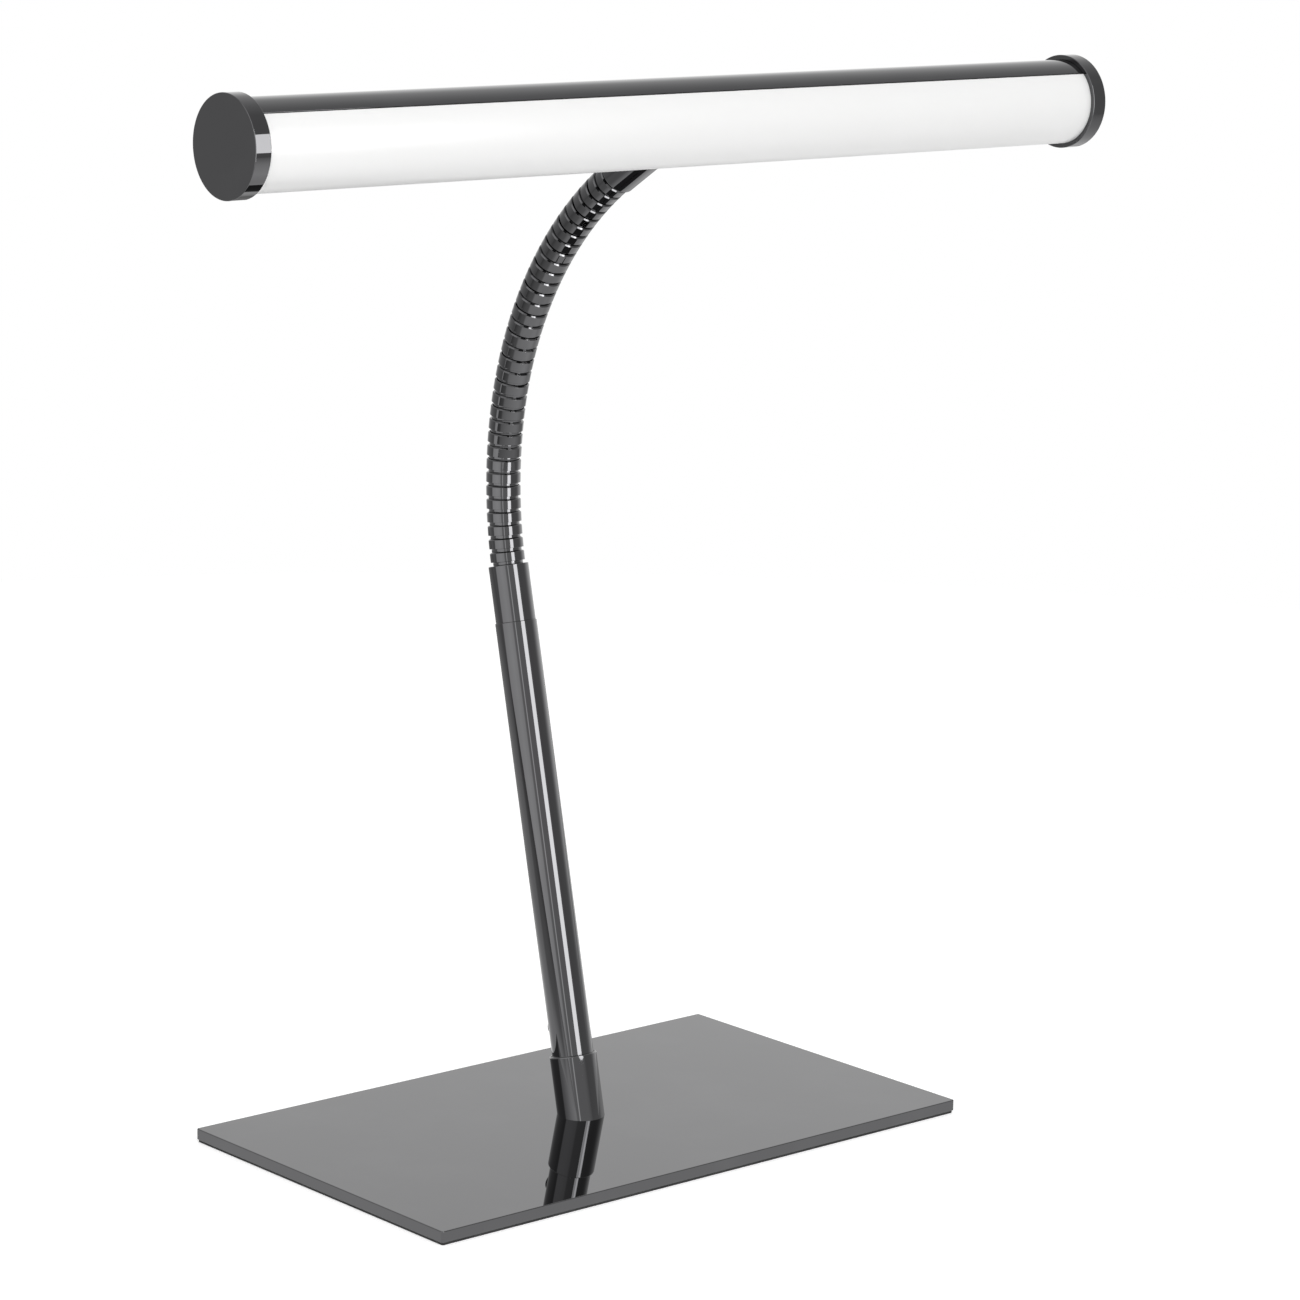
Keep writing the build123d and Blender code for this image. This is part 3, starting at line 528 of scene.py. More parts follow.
HAIRLINE_ROUGHNESS = 0.05


def plated_metal(name, scale=1.0, wear=0.5, waviness=3e-7):
    """Polished black nickel plate: smudges and hairlines change its gloss, and its edges are rubbed pale."""
    look = finish()
    material, tree, shader = new_material(name)
    marks = place(tree, "ShaderNodeGroup", node_tree=handling_group())
    marks.inputs["Scale"].default_value = scale
    rubbed = place(tree, "ShaderNodeGroup", node_tree=edge_group())
    rubbed.inputs["Amount"].default_value = wear
    smudged = mixed(tree, marks.outputs["Smudge"], tuple(look.nickel), toned(look.nickel, 1.07))
    body = mixed(tree, rubbed.outputs["Mask"], smudged, tuple(look.nickel_worn))
    tree.links.new(body, shader.inputs["Base Color"])
    gloss = ranged(tree, marks.outputs["Smudge"], 0.0, 1.0, look.nickel_roughness, look.smudge_roughness)
    lined = arithmetic(tree, "MULTIPLY_ADD", marks.outputs["Hairline"], HAIRLINE_ROUGHNESS, gloss)
    tree.links.new(lined, shader.inputs["Roughness"])
    bumped(tree, shader, marks.outputs["Waviness"], waviness)
    shader.inputs["Metallic"].default_value = 1.0
    return material


def bare_metal(name, tone, roughness, stretch):
    """Plain metal with drawn or brushed lines: noise stretched along one axis."""
    material, tree, shader = new_material(name)
    coords = place(tree, "ShaderNodeTexCoord").outputs["Object"]
    drawn = place(tree, "ShaderNodeMapping", {"Vector": coords, "Scale": stretch})
    lines = noise(tree, drawn.outputs[0], 1.0, 3.0)
    dull = mixed(tree, ranged(tree, lines, 0.3, 0.7, 0.0, 1.0), toned(tone, 0.82), tone)
    tree.links.new(dull, shader.inputs["Base Color"])
    tree.links.new(ranged(tree, lines, 0.3, 0.7, roughness * 0.75, roughness * 1.3),
                   shader.inputs["Roughness"])
    bumped(tree, shader, lines, 1.5e-5)
    shader.inputs["Metallic"].default_value = 1.0
    return material


def moulded(name, tone, roughness, grain=2000.0, depth=2e-5, spread=0.12, sheen=0.0, speck=0.0, ior=1.5):
    """Plastic or rubber: fine grain, slow changes of tone, and a few pale specks of dust scattered by noise.
    """
    material, tree, shader = new_material(name)
    skin = place(tree, "ShaderNodeGroup", node_tree=grain_group())
    skin.inputs["Scale"].default_value = grain
    body = mixed(tree, skin.outputs["Tone"], toned(tone, 1 - spread), tone)
    if speck:
        body = mixed(tree, ranged(tree, skin.outputs["Speck"], 0.0, 1.0, 0.0, speck), body, (0.6, 0.6, 0.58))
    tree.links.new(body, shader.inputs["Base Color"])
    tree.links.new(ranged(tree, skin.outputs["Tone"], 0.0, 1.0, roughness * 1.1, roughness * 0.9),
                   shader.inputs["Roughness"])
    bumped(tree, shader, skin.outputs["Height"], depth)
    shader.inputs["IOR"].default_value = ior
    shader.inputs["Sheen Weight"].default_value = sheen
    return material


def circuit_board(name, tone, track, roughness):
    """Solder mask over copper tracks: a brick pattern's mortar lines stand for the tracks."""
    material, tree, shader = new_material(name)
    coords = place(tree, "ShaderNodeTexCoord").outputs["Object"]
    tracks = place(tree, "ShaderNodeTexBrick", {"Vector": coords, "Scale": 260.0, "Mortar Size": 0.07,
                                                "Color1": (*tone, 1.0), "Color2": (*toned(tone, 0.92), 1.0),
                                                "Mortar": (*track, 1.0)})
    tree.links.new(tracks.outputs["Color"], shader.inputs["Base Color"])
    skin = place(tree, "ShaderNodeGroup", node_tree=grain_group())
    tree.links.new(ranged(tree, skin.outputs["Tone"], 0.0, 1.0, roughness * 0.8, roughness * 1.2),
                   shader.inputs["Roughness"])
    bumped(tree, shader, tracks.outputs["Fac"], 2e-5)
    return material


def opal_plastic(name):
    """Satin opal plastic: faint flow in its tone, and a very fine grain on its face."""
    look = finish()
    material, tree, shader = new_material(name)
    skin = place(tree, "ShaderNodeGroup", node_tree=grain_group())
    skin.inputs["Scale"].default_value = 3500.0
    skin.inputs["Tone scale"].default_value = 18.0
    body = mixed(tree, skin.outputs["Tone"], toned(look.opal, 0.985), tuple(look.opal))
    tree.links.new(body, shader.inputs["Base Color"])
    satin = look.opal_roughness
    tree.links.new(ranged(tree, skin.outputs["Tone"], 0.0, 1.0, satin * 1.08, satin * 0.94),
                   shader.inputs["Roughness"])
    bumped(tree, shader, skin.outputs["Height"], 2e-6)
    shader.inputs["IOR"].default_value = 1.49
    shader.inputs["Subsurface Weight"].default_value = 0.15
    shader.inputs["Subsurface Radius"].default_value = (1.0, 1.0, 1.0)
    shader.inputs["Subsurface Scale"].default_value = 0.002
    return material


def make_finish(slot):
    """The material of one slot of the record."""
    look = finish()
    makers = {
        "base_steel": lambda: plated_metal(slot, 0.8, 0.45, 2e-6),
        "post_steel": lambda: plated_metal(slot, 1.0, 0.5),
        "neck_steel": lambda: plated_metal(slot, 1.6, 0.5),
        "head_metal": lambda: plated_metal(slot, 0.9, 0.4),
        "cap_metal": lambda: plated_metal(slot, 1.2, 0.4),
        "screw_steel": lambda: bare_metal(slot, (0.55, 0.55, 0.56), 0.28, (2500.0, 2500.0, 400.0)),
        "spring_steel": lambda: bare_metal(slot, (0.6, 0.6, 0.6), 0.22, (3000.0, 3000.0, 3000.0)),
        "carrier_metal": lambda: bare_metal(slot, (0.75, 0.76, 0.77), 0.35, (30.0, 2500.0, 2500.0)),
        "can_metal": lambda: bare_metal(slot, (0.6, 0.6, 0.62), 0.3, (1500.0, 200.0, 1500.0)),
        "foot_pad": lambda: moulded(slot, toned(look.rubber, 0.6), 0.85, 1500.0, 3e-5, 0.25, 0.0, 0.04),
        "grommet_rubber": lambda: moulded(slot, tuple(look.rubber), 0.6, 2600.0, 2e-5, 0.2, 0.08, 0.03),
        "opal_plastic": lambda: opal_plastic(slot),
        "led_board_mask": lambda: circuit_board(slot, (0.88, 0.88, 0.86), (0.72, 0.70, 0.62), 0.35),
        "driver_board_mask": lambda: circuit_board(slot, (0.05, 0.25, 0.12), (0.12, 0.36, 0.16), 0.3),
        "led_phosphor": lambda: moulded(slot, (0.92, 0.78, 0.3), 0.3, 4000.0, 1e-5, 0.08),
        "nylon": lambda: moulded(slot, (0.85, 0.85, 0.82), 0.4, 2500.0, 1e-5, 0.06),
        "part_plastic": lambda: moulded(slot, (0.05, 0.05, 0.055), 0.5, 2500.0, 2e-5, 0.2),
        "terminal_plastic": lambda: moulded(slot, (0.1, 0.3, 0.2), 0.45, 2500.0, 1e-5, 0.12),
        "lead_sheath": lambda: moulded(slot, (0.05, 0.05, 0.05), 0.5, 1800.0, 2e-5, 0.2, 0.05),
        "wire_sheath": lambda: moulded(slot, (0.7, 0.08, 0.05), 0.3, 2500.0, 1e-5, 0.1),
    }
    return makers[slot]()


def material_of(slot):
    """The finish of one slot of the record, made once."""
    return bpy.data.materials.get(f"{slot} finish") or make_finish(slot)


def fit_out(piece, slot, body, *nodes):
    """Give a new piece the material of its slot, attach it to its body, and hide the nodes that it stands
    for.
    """
    piece.data.materials.append(material_of(slot))
    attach(piece, body)
    if nodes:
        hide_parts(*nodes)
    return piece


# ---------------------------------------------------------------- pieces
def rounded_outline(half_x, half_y, corner, steps=6):
    """A rounded rectangle as centres and unit normals: a point is centre + normal * corner radius."""
    quarter = np.linspace(0.0, np.pi / 2, steps + 1)
    turn = (quarter[None, :] + (np.arange(4) * np.pi / 2)[:, None]).reshape(-1)
    turn = np.append(turn, 2 * np.pi)
    normals = np.stack([np.cos(turn), np.sin(turn), np.zeros_like(turn)], axis=1)
    signs = np.repeat(np.array([[1, 1], [-1, 1], [-1, -1], [1, -1]]), steps + 1, axis=0)
    signs = np.vstack([signs, signs[:1]])
    centres = np.zeros_like(normals)
    centres[:, :2] = signs * np.array([half_x - corner, half_y - corner])
    return centres, normals


def slab_edge(skin, rows, centres, normals):
    """The side of a slab: rows (height, offset, normal up, normal outward, edge) round an outline."""
    height, offset, lift, outward = (rows[:, k, None, None] for k in range(4))
    points = centres[None] + offset * normals[None] + height * UP
    skin.patch(points, lift * UP + outward * normals[None], rows[:, 4, None])


def build_base_plate():
    """A slab whose edge profile is carried round a rounded rectangle. Its top and bottom run in rows from
    that outline to a round hole, which is countersunk from below."""
    s = sizes()
    skin = Skin()
    centres, normals = rounded_outline(s.base_length / 2, s.base_depth / 2, s.base_corner)
    low, high = s.pad_thickness, s.base_top
    inner = s.base_corner - 2 * s.base_edge
    edge = run((low, inner), (low, s.base_corner, s.base_edge / 2), (high, s.base_corner, s.base_edge),
               (high, inner))
    slab_edge(skin, edge, centres, normals)
    outline = centres + inner * normals
    middle = s.screw_sink - s.screw_hole
    share_in = np.linspace(0.0, 1.0, 5)[:, None, None]
    around_hole = outline / np.linalg.norm(outline[:, :2], axis=1)[:, None]
    for level, radius, way in ((high, s.screw_hole, 1.0), (low, s.screw_sink, -1.0)):
        flat = outline + (around_hole * radius - outline) * share_in
        skin.patch(flat + level * UP, way * UP)
    hole = np.stack([around_hole * r + UP * z for r, z in
                     ((s.screw_hole, high), (s.screw_hole, low + middle), (s.screw_sink, low))])
    skin.patch(hole[:2], -around_hole)
    skin.patch(hole[1:], -(UP + around_hole) / math.sqrt(2.0))
    return skin.build("base_plate_finished")


def build_base_pad():
    """A slab like the base plate's, set in from its edge, whose faces close on a point at the middle."""
    s = sizes()
    skin = Skin()
    half_x, half_y = s.base_length / 2 - s.pad_inset, s.base_depth / 2 - s.pad_inset
    centres, normals = rounded_outline(half_x, half_y, s.base_corner)
    rounding = s.pad_thickness / 6
    inner = s.base_corner - 2 * rounding
    edge = run((0.0, inner), (0.0, s.base_corner, rounding), (s.pad_thickness, s.base_corner, rounding),
               (s.pad_thickness, inner))
    slab_edge(skin, edge, centres, normals)
    outline = centres + inner * normals
    share_in = np.linspace(1.0, 0.0, 9)[:, None, None]
    for level, way in ((0.0, -1.0), (s.pad_thickness, 1.0)):
        skin.patch(outline * share_in + level * UP, way * UP)
    return skin.build("base_pad_finished")


def post_frame():
    """Foot, axis and two directions square to it for the post and its socket."""
    lean = sizes().post_lean
    return post_foot(), heading(lean), X, across(lean)


def build_foot_socket():
    """A turned cup whose foot is cut level with the base, which lifts each point of the foot by radius *
    sin(angle) * tan(lean), with a drilled hole for the grub screw at the back."""
    s = sizes()
    origin, axis, u, v = post_frame()
    skin = Skin()
    bore = s.post_radius + SNUG
    window = math.radians(28.0)
    angles = spans([0.0, np.pi / 2 - window, np.pi / 2 + window, 2 * np.pi], [18, 16, 78])
    reach = 0.0034
    hole = (np.pi / 2, s.grub_place, s.grub_radius, window, reach)
    rounding = 0.0005
    outer_top = s.socket_length - rounding
    foot = run((0.0, s.socket_radius), (s.socket_floor, s.socket_radius))
    lift = np.stack([s.socket_radius * np.sin(angles) * math.tan(s.post_lean), np.zeros_like(angles)])
    turned(skin, foot, origin, axis, u, v, angles, lift)
    outer = spans([s.socket_floor, s.grub_place - reach, s.grub_place + reach, outer_top], [2, 16, 1])
    inner = spans([s.socket_floor, s.grub_place - reach, s.grub_place + reach, s.socket_length], [2, 16, 1])
    drilled(skin, s.socket_radius, angles, outer, [hole], origin, axis, u, v)
    drilled(skin, bore, angles, inner, [hole], origin, axis, u, v, -1.0)
    bored(skin, hole, s.socket_radius, bore, 16, origin, axis, u, v)
    rim = run((outer_top - rounding, s.socket_radius), (s.socket_length, s.socket_radius, rounding),
              (s.socket_length, bore))[1:]
    turned(skin, rim, origin, axis, u, v, angles)
    screw = 0.003
    floor = run((s.socket_floor, bore), (s.socket_floor, screw))
    turned(skin, floor, origin, axis, u, v, angles)
    wall = run((s.socket_floor, screw), (0.0, screw))
    tilt = screw * np.sin(angles) * math.tan(s.post_lean)
    turned(skin, wall, origin, axis, u, v, angles, np.stack([np.zeros_like(angles), tilt]))
    under = np.array([screw, s.socket_radius])[:, None]
    slope = under * np.sin(angles) * math.tan(s.post_lean)
    points = origin + under[..., None] * spoke(angles, u, v) + slope[..., None] * axis
    skin.patch(points, -UP)
    return skin.build("foot_socket_finished")


def build_post_tube():
    """A straight tube, outside and inside at two radii, with a drilled hole at the back for the grommet."""
    s = sizes()
    origin, axis, u, v = post_frame()
    skin = Skin()
    inside = s.post_radius - s.post_wall
    window = math.radians(48.0)
    reach = 0.005
    angles = spans([0.0, np.pi / 2 - window, np.pi / 2 + window, 2 * np.pi], [14, 24, 74])
    hole = (np.pi / 2, s.grommet_place, s.grommet_neck, window, reach)
    edge = 0.0002
    edges = [s.socket_floor, s.grommet_place - reach, s.grommet_place + reach]
    for radius, end, way in ((s.post_radius, s.post_length - edge, 1.0), (inside, s.post_length, -1.0)):
        drilled(skin, radius, angles, spans(edges + [end], [2, 24, 12]), [hole], origin, axis, u, v, way)
    bored(skin, hole, s.post_radius, inside, 24, origin, axis, u, v)
    top = run((s.post_length - 2 * edge, s.post_radius), (s.post_length, s.post_radius, edge),
              (s.post_length, inside))
    turned(skin, top[1:], origin, axis, u, v, angles)
    turned(skin, run((s.socket_floor, inside), (s.socket_floor, s.post_radius)), origin, axis, u, v, angles)
    return skin.build("post_tube_finished")


def build_cord_grommet():
    """A turned rubber ring on a radius of the post. Where it meets the post's outside and inside, its rows
    are pulled to the tube: height above the post's axis = root of tube radius^2 - (radius * cos(angle))^2."""
    s = sizes()
    lean = s.post_lean
    origin = post_foot() + heading(lean) * s.grommet_place
    axis = across(lean)
    skin = Skin()
    angles = around(64)
    edge = s.grommet_edge
    inside = s.post_radius - s.post_wall
    top = s.post_radius + s.grommet_height

    def saddle(tube, radius):
        return np.sqrt(tube**2 - (radius * np.cos(angles)) ** 2)

    rim = run((0.0, s.grommet_radius), (top, s.grommet_radius, edge), (top, s.grommet_bore, edge / 3),
              (0.0, s.grommet_bore))
    lift = np.zeros((len(rim), len(angles)))
    lift[0] = saddle(s.post_radius, s.grommet_radius)
    lift[-1] = saddle(inside, s.grommet_bore)
    turned(skin, rim, origin, axis, X, heading(lean), angles, lift)
    rows = ((inside, s.grommet_bore), (inside, s.grommet_neck), (s.post_radius, s.grommet_neck),
            (s.post_radius, s.grommet_radius))
    out = spoke(angles, X, heading(lean))
    points = np.stack([origin + radius * out + saddle(tube, radius)[:, None] * axis for tube, radius in rows])
    for start, normal in ((0, -axis), (1, out), (2, -axis)):
        skin.patch(points[start:start + 2], normal)
    return skin.build("cord_grommet_finished")


def build_post_collar():
    """A turned collar: it steps in from the post, ends in a small rounding and a cup for the neck's first
    ball, and its spigot goes down inside the post."""
    s = sizes()
    half = s.band_gap / 2
    spigot = s.post_radius - s.post_wall - TIGHT
    edge = 0.0003
    mouth = math.sqrt(s.cup_radius**2 - half**2)
    rows = np.concatenate([
        run((-half - s.collar_length - s.collar_spigot, s.neck_bore),
            (-half - s.collar_length - s.collar_spigot, spigot, edge),
            (-half - s.collar_length, spigot), (-half - s.collar_length, s.collar_radius, edge / 3),
            (-half, s.collar_radius, edge), (-half, mouth)),
        ball(s.cup_radius, -half, -s.cup_depth, -1.0),
        run((-s.cup_depth, math.sqrt(s.cup_radius**2 - s.cup_depth**2)), (-s.cup_depth, s.neck_bore),
            (-half - s.collar_length - s.collar_spigot, s.neck_bore)),
    ])
    skin = Skin()
    gaps, _ = neck_line()
    turned(skin, rows, gaps[0], heading(s.post_lean), X, across(s.post_lean), around(112))
    return skin.build("post_collar_finished")


def link_rows():
    """Profile of one neck link: ball, band, groove, band and cup, then back down the bore. along runs from
    the middle of the link's lower gap."""
    s = sizes()
    half, pitch, edge = s.band_gap / 2, s.band_pitch, s.band_edge
    top = 2 * pitch
    ball_rim = math.sqrt(s.ball_radius**2 - half**2)
    mouth = math.sqrt(s.cup_radius**2 - half**2)
    cup_foot = math.sqrt(s.cup_radius**2 - s.cup_depth**2)
    shoulder = s.band_radius - s.band_chamfer

    def band(low, high, rim):
        """Foot, side, chamfer and top of one band."""
        return run((low, ball_rim), (low, s.band_radius, edge), (high - s.band_chamfer, s.band_radius, edge),
                   (high, shoulder), (high, rim))

    return np.concatenate([
        ball(s.ball_radius, -s.ball_depth, half),
        band(half, pitch - half, ball_rim),
        shifted(ball(s.ball_radius, -half, half), pitch),
        band(pitch + half, top - half, mouth),
        shifted(ball(s.cup_radius, -half, -s.cup_depth, -1.0), top),
        run((top - s.cup_depth, cup_foot), (top - s.cup_depth, s.neck_bore),
            (pitch, s.neck_bore), (-s.ball_depth, s.neck_bore),
            (-s.ball_depth, math.sqrt(s.ball_radius**2 - s.ball_depth**2))),
    ])


def turned_on_link(skin, rows, number, segments):
    """A profile turned about the bent line of a link: its lean goes from the lower band's to the upper
    band's across the groove between them, and its centre follows the two bands' straight lines."""
    s = sizes()
    gaps, leans = neck_line()
    low = 2 * number
    half, pitch = s.band_gap / 2, s.band_pitch
    along = rows[:, 0]
    share_up = np.clip((along - pitch + half) / s.band_gap, 0.0, 1.0)
    lean = leans[low] + (leans[low + 1] - leans[low]) * share_up
    first = gaps[low] + np.outer(along, heading(leans[low]))
    second = gaps[low + 1] + np.outer(along - pitch, heading(leans[low + 1]))
    centre = np.where((along < pitch)[:, None], first, second)
    axis = np.stack([np.zeros_like(lean), np.sin(lean), np.cos(lean)], axis=1)
    side = np.stack([np.zeros_like(lean), np.cos(lean), -np.sin(lean)], axis=1)
    flat = rows.copy()
    flat[:, 0] = 0.0
    turned(skin, flat, centre, axis, X, side, around(segments))


def build_neck_link(number):
    """The link's profile turned about its bent line."""
    skin = Skin()
    turned_on_link(skin, link_rows(), number, 80)
    return skin.build(f"neck_link_{number + 1:02d}_finished")


def build_neck_lead(number):
    """A short length of lead inside one link, rounded at both ends, on the same bent line. Number -1 is the
    stub in the collar."""
    s = sizes()
    overlap, segments = 0.0002, 24
    if number < 0:
        start, end = -s.cup_depth, 2 * overlap
    else:
        start, end = -overlap, 2 * s.band_pitch + overlap
    rounding = s.lead_radius / 3
    rows = run((start, 0.0), (start, s.lead_radius, rounding), (end, s.lead_radius, rounding), (end, 0.0))
    skin = Skin()
    if number < 0:
        foot = neck_line()[0][0]
        turned(skin, rows, foot, heading(s.post_lean), X, across(s.post_lean), around(segments))
    else:
        turned_on_link(skin, rows, number, segments)
    return skin.build(f"neck_lead_{number + 1:02d}")


def build_head_ferrule():
    """A turned sleeve from the last ball to the head. Its end is cut to the head's tube: along the axis, it
    reaches to the head's centre less the root of tube radius^2 - (radius * sin(angle))^2."""
    s = sizes()
    gaps, leans = neck_line()
    lean = leans[-1]
    half = s.band_gap / 2
    to_head = half + s.ferrule_reach
    edge = 0.0005
    tube = s.tube_radius + TIGHT
    angles = around(96)
    end = to_head - s.ferrule_end
    skin = Skin()
    rows = np.concatenate([
        ball(s.ball_radius, -s.ball_depth, half),
        run((half, math.sqrt(s.ball_radius**2 - half**2)), (half, s.ferrule_radius, edge),
            (to_head - tube, s.ferrule_radius)),
    ])
    lift = np.zeros((len(rows), len(angles)))
    lift[-1] = tube - np.sqrt(tube**2 - (s.ferrule_radius * np.sin(angles)) ** 2)
    place_of = (gaps[-1], heading(lean), X, across(lean), angles)
    turned(skin, rows, *place_of, lift)
    seat = np.array([[to_head - tube, r, 1.0, 0.0, 0.0] for r in (s.ferrule_radius, s.ferrule_thread)])
    turned(skin, seat, *place_of, tube - np.sqrt(tube**2 - (seat[:, 1, None] * np.sin(angles)) ** 2))
    thread = run((to_head - tube, s.ferrule_thread), (end, s.ferrule_thread, edge), (end, s.ferrule_bore),
                 (-s.ball_depth, s.ferrule_bore),
                 (-s.ball_depth, math.sqrt(s.ball_radius**2 - s.ball_depth**2)))
    lift = np.zeros((len(thread), len(angles)))
    lift[0] = tube - np.sqrt(tube**2 - (s.ferrule_thread * np.sin(angles)) ** 2)
    turned(skin, thread, *place_of, lift)
    return skin.build("head_ferrule_finished")


def build_head_shell():
    """An arc of tube along X, outside and inside at two radii, with drilled holes for the ferrule and the
    push-button. Its long edges are rounded and step down to a thin tongue, and its ends are square."""
    s = sizes()
    centre, side, up = head_frame()
    skin = Skin()
    inside = s.tube_radius - s.shell_wall
    start, end = np.pi / 2 - s.shell_half, np.pi / 2 + s.shell_half
    ferrule = -heading(neck_line()[1][-1])
    ferrule_turn = math.atan2(ferrule @ up, ferrule @ side)
    edge = 0.00015
    shave = edge / s.tube_radius
    wide, narrow = math.radians(30.0), math.radians(22.0)
    button_turn = np.pi / 2
    inner_edges = [ferrule_turn - wide, ferrule_turn + wide, button_turn - narrow, button_turn + narrow]
    cells = [10, 24, 4, 24, 56]
    step_radius = inside + s.tongue_wall
    outer_angles = spans([start + shave] + inner_edges + [end - shave], cells)
    inner_angles = spans([start - s.tongue, start] + inner_edges + [end, end + s.tongue], [1, *cells, 1])
    reach = 0.0075
    button = s.button_place
    places = spans([-s.tube_half, -reach, reach, button - reach, button + reach, s.tube_half],
                   [12, 24, 10, 24, 2])
    holes = [
        (ferrule_turn, 0.0, s.ferrule_thread + EASY, wide, reach),
        (button_turn, button, s.button_radius + SLIDING, narrow, reach),
    ]
    where = (centre, X, side, up)
    drilled(skin, s.tube_radius, outer_angles, places, holes, *where)
    drilled(skin, inside, inner_angles, places, holes, *where, -1.0)
    for hole in holes:
        bored(skin, hole, s.tube_radius, inside, 24, *where)
    for turn, way, outer_turn in ((start, -1.0, outer_angles[0]), (end, 1.0, outer_angles[-1])):
        step = np.linspace(0.0, np.pi / 2, ARC_STEPS + 1)
        out = math.cos(turn) * side + math.sin(turn) * up
        flat = way * (-math.sin(turn) * side + math.cos(turn) * up)
        last = math.cos(outer_turn) * side + math.sin(outer_turn) * up
        arc = [last * s.tube_radius if k == 0 else out * (s.tube_radius - edge * (1 - math.cos(t)))
               - flat * edge * (1 - math.sin(t)) for k, t in enumerate(step)]
        normal = [math.cos(t) * out + math.sin(t) * flat for t in step]
        rows = np.stack(arc + [out * step_radius])
        rounded = np.stack(normal + [flat])
        worn = np.append(np.sin(np.pi * np.linspace(0, 1, ARC_STEPS + 1)), 0.0)
        beyond = turn + way * s.tongue
        past = math.cos(beyond) * side + math.sin(beyond) * up
        blunt = way * (-math.sin(beyond) * side + math.cos(beyond) * up)
        foot = np.stack([out, past])
        tip = np.stack([past * step_radius, past * inside])
        for profile, facing, wear in ((rows, rounded, worn[:, None]), (foot * step_radius, foot, 0.0),
                                      (tip, blunt[None], 0.0)):
            skin.patch(centre + profile[:, None] + places[None, :, None] * X, facing[:, None], wear)
        for at, face in ((places[0], -X), (places[-1], X)):
            wall = np.broadcast_to(out * inside, rows.shape)
            sheet_between(skin, centre + rows + at * X, centre + wall + at * X, face)
            sheet_between(skin, centre + foot * step_radius + at * X, centre + foot * inside + at * X, face)
    for at, face in ((places[0], -X), (places[-1], X)):
        outer, inner = (centre + radius * spoke(angles, side, up) + at * X for radius, angles in
                        ((s.tube_radius, outer_angles), (inside, inner_angles[1:-1])))
        sheet_between(skin, outer, inner, face)
    return skin.build("head_shell_finished")


def build_diffuser():
    """A closed section carried along X: an outer and an inner radius for each angle, with a step down at
    each side to the lip that goes behind the shell."""
    s = sizes()
    centre, side, up = head_frame()
    skin = Skin()
    shell_inside = s.tube_radius - s.shell_wall
    lip_wall = 0.0011
    lip_out, lip_in = shell_inside - EASY, shell_inside - EASY - lip_wall
    inner = s.tube_radius - s.diffuser_wall
    lip = math.radians(6.0)
    first, last = np.pi / 2 + s.shell_half, 5 * np.pi / 2 - s.shell_half
    start, end = first + s.split_gap, last - s.split_gap
    face = np.linspace(start, end, 73)
    lower = np.linspace(first - lip, start, 5)
    upper = np.linspace(end, last + lip, 5)
    outline = [(lower, lip_out, 1.0), (face, s.tube_radius, 1.0), (upper, lip_out, 1.0),
               (np.linspace(last + lip, last - lip, 9), lip_in, -1.0),
               (np.linspace(last - lip, first + lip, 61), inner, -1.0),
               (np.linspace(first + lip, first - lip, 9), lip_in, -1.0)]
    ends = np.array([-s.tube_half, s.tube_half])
    strips = []
    for angles, radius, way in outline:
        out = spoke(angles, side, up)
        strips.append(radius * out)
        skin.patch(centre + strips[-1][:, None] + ends[None, :, None] * X, way * out[:, None])
    for here, there in zip(strips, strips[1:] + strips[:1]):
        step = np.stack([here[-1], there[0]])
        along = step[1] - step[0]
        skin.patch(centre + step[:, None] + ends[None, :, None] * X,
                   -np.cross(X, along / np.linalg.norm(along)))
    turns = np.concatenate([lower, face, upper])
    outer_radius = np.concatenate([np.full(len(a), r) for a, r, _ in outline[:3]])
    inner_turns = np.clip(turns, first - lip, last + lip)
    in_lip = (turns < first + lip) | (turns > last - lip)
    for at, normal in zip(ends, (-X, X)):
        out = spoke(inner_turns, side, up)
        sheet_between(skin, centre + outer_radius[:, None] * out + at * X,
                      centre + np.where(in_lip, lip_in, inner)[:, None] * out + at * X, normal)
    return skin.build("diffuser_finished")


def build_end_cap(side_sign, name):
    """A turned cup about the head's axis, with a boss like a flat rectangular tube on its pocket's floor."""
    s = sizes()
    centre, side, up = head_frame()
    skin = Skin()
    end = s.head_length / 2
    mouth = end - s.cap_width
    floor = mouth + s.cap_pocket
    pocket = s.tube_radius + EASY
    edge = s.cap_edge
    rows = run((floor, 0.0), (floor, pocket), (mouth, pocket), (mouth, s.cap_radius, edge),
               (end, s.cap_radius, edge), (end, 0.0))
    turned(skin, rows, centre, side_sign * X, side, up, around(144))
    boss_start, boss_end = floor - 0.009, floor + 0.0005
    boss_ends = side_sign * np.array([boss_start, boss_end])[None, :, None] * X
    # Half width, low side, high side and facing of the boss's outside, then of its inside.
    for half_side, low, high, way in ((0.010, -0.0035, 0.0025, 1.0), (0.00905, -0.00155, 0.00005, -1.0)):
        corners = np.array([[-1, low], [1, low], [1, high], [-1, high], [-1, low]], dtype=float)
        corners[:, 0] *= half_side
        ring = corners[:, :1] * side + corners[:, 1:] * up
        for k in range(4):
            along = ring[k + 1] - ring[k]
            skin.patch(centre + ring[k:k + 2][:, None] + boss_ends,
                       way * np.cross(along / np.linalg.norm(along), X))
        if way > 0:
            outer_ring = ring
    for at, face in ((boss_start, -side_sign), (boss_end, side_sign)):
        offset = side_sign * at * X
        sheet_between(skin, centre + outer_ring + offset, centre + ring + offset, face * X)
    return skin.build(name)


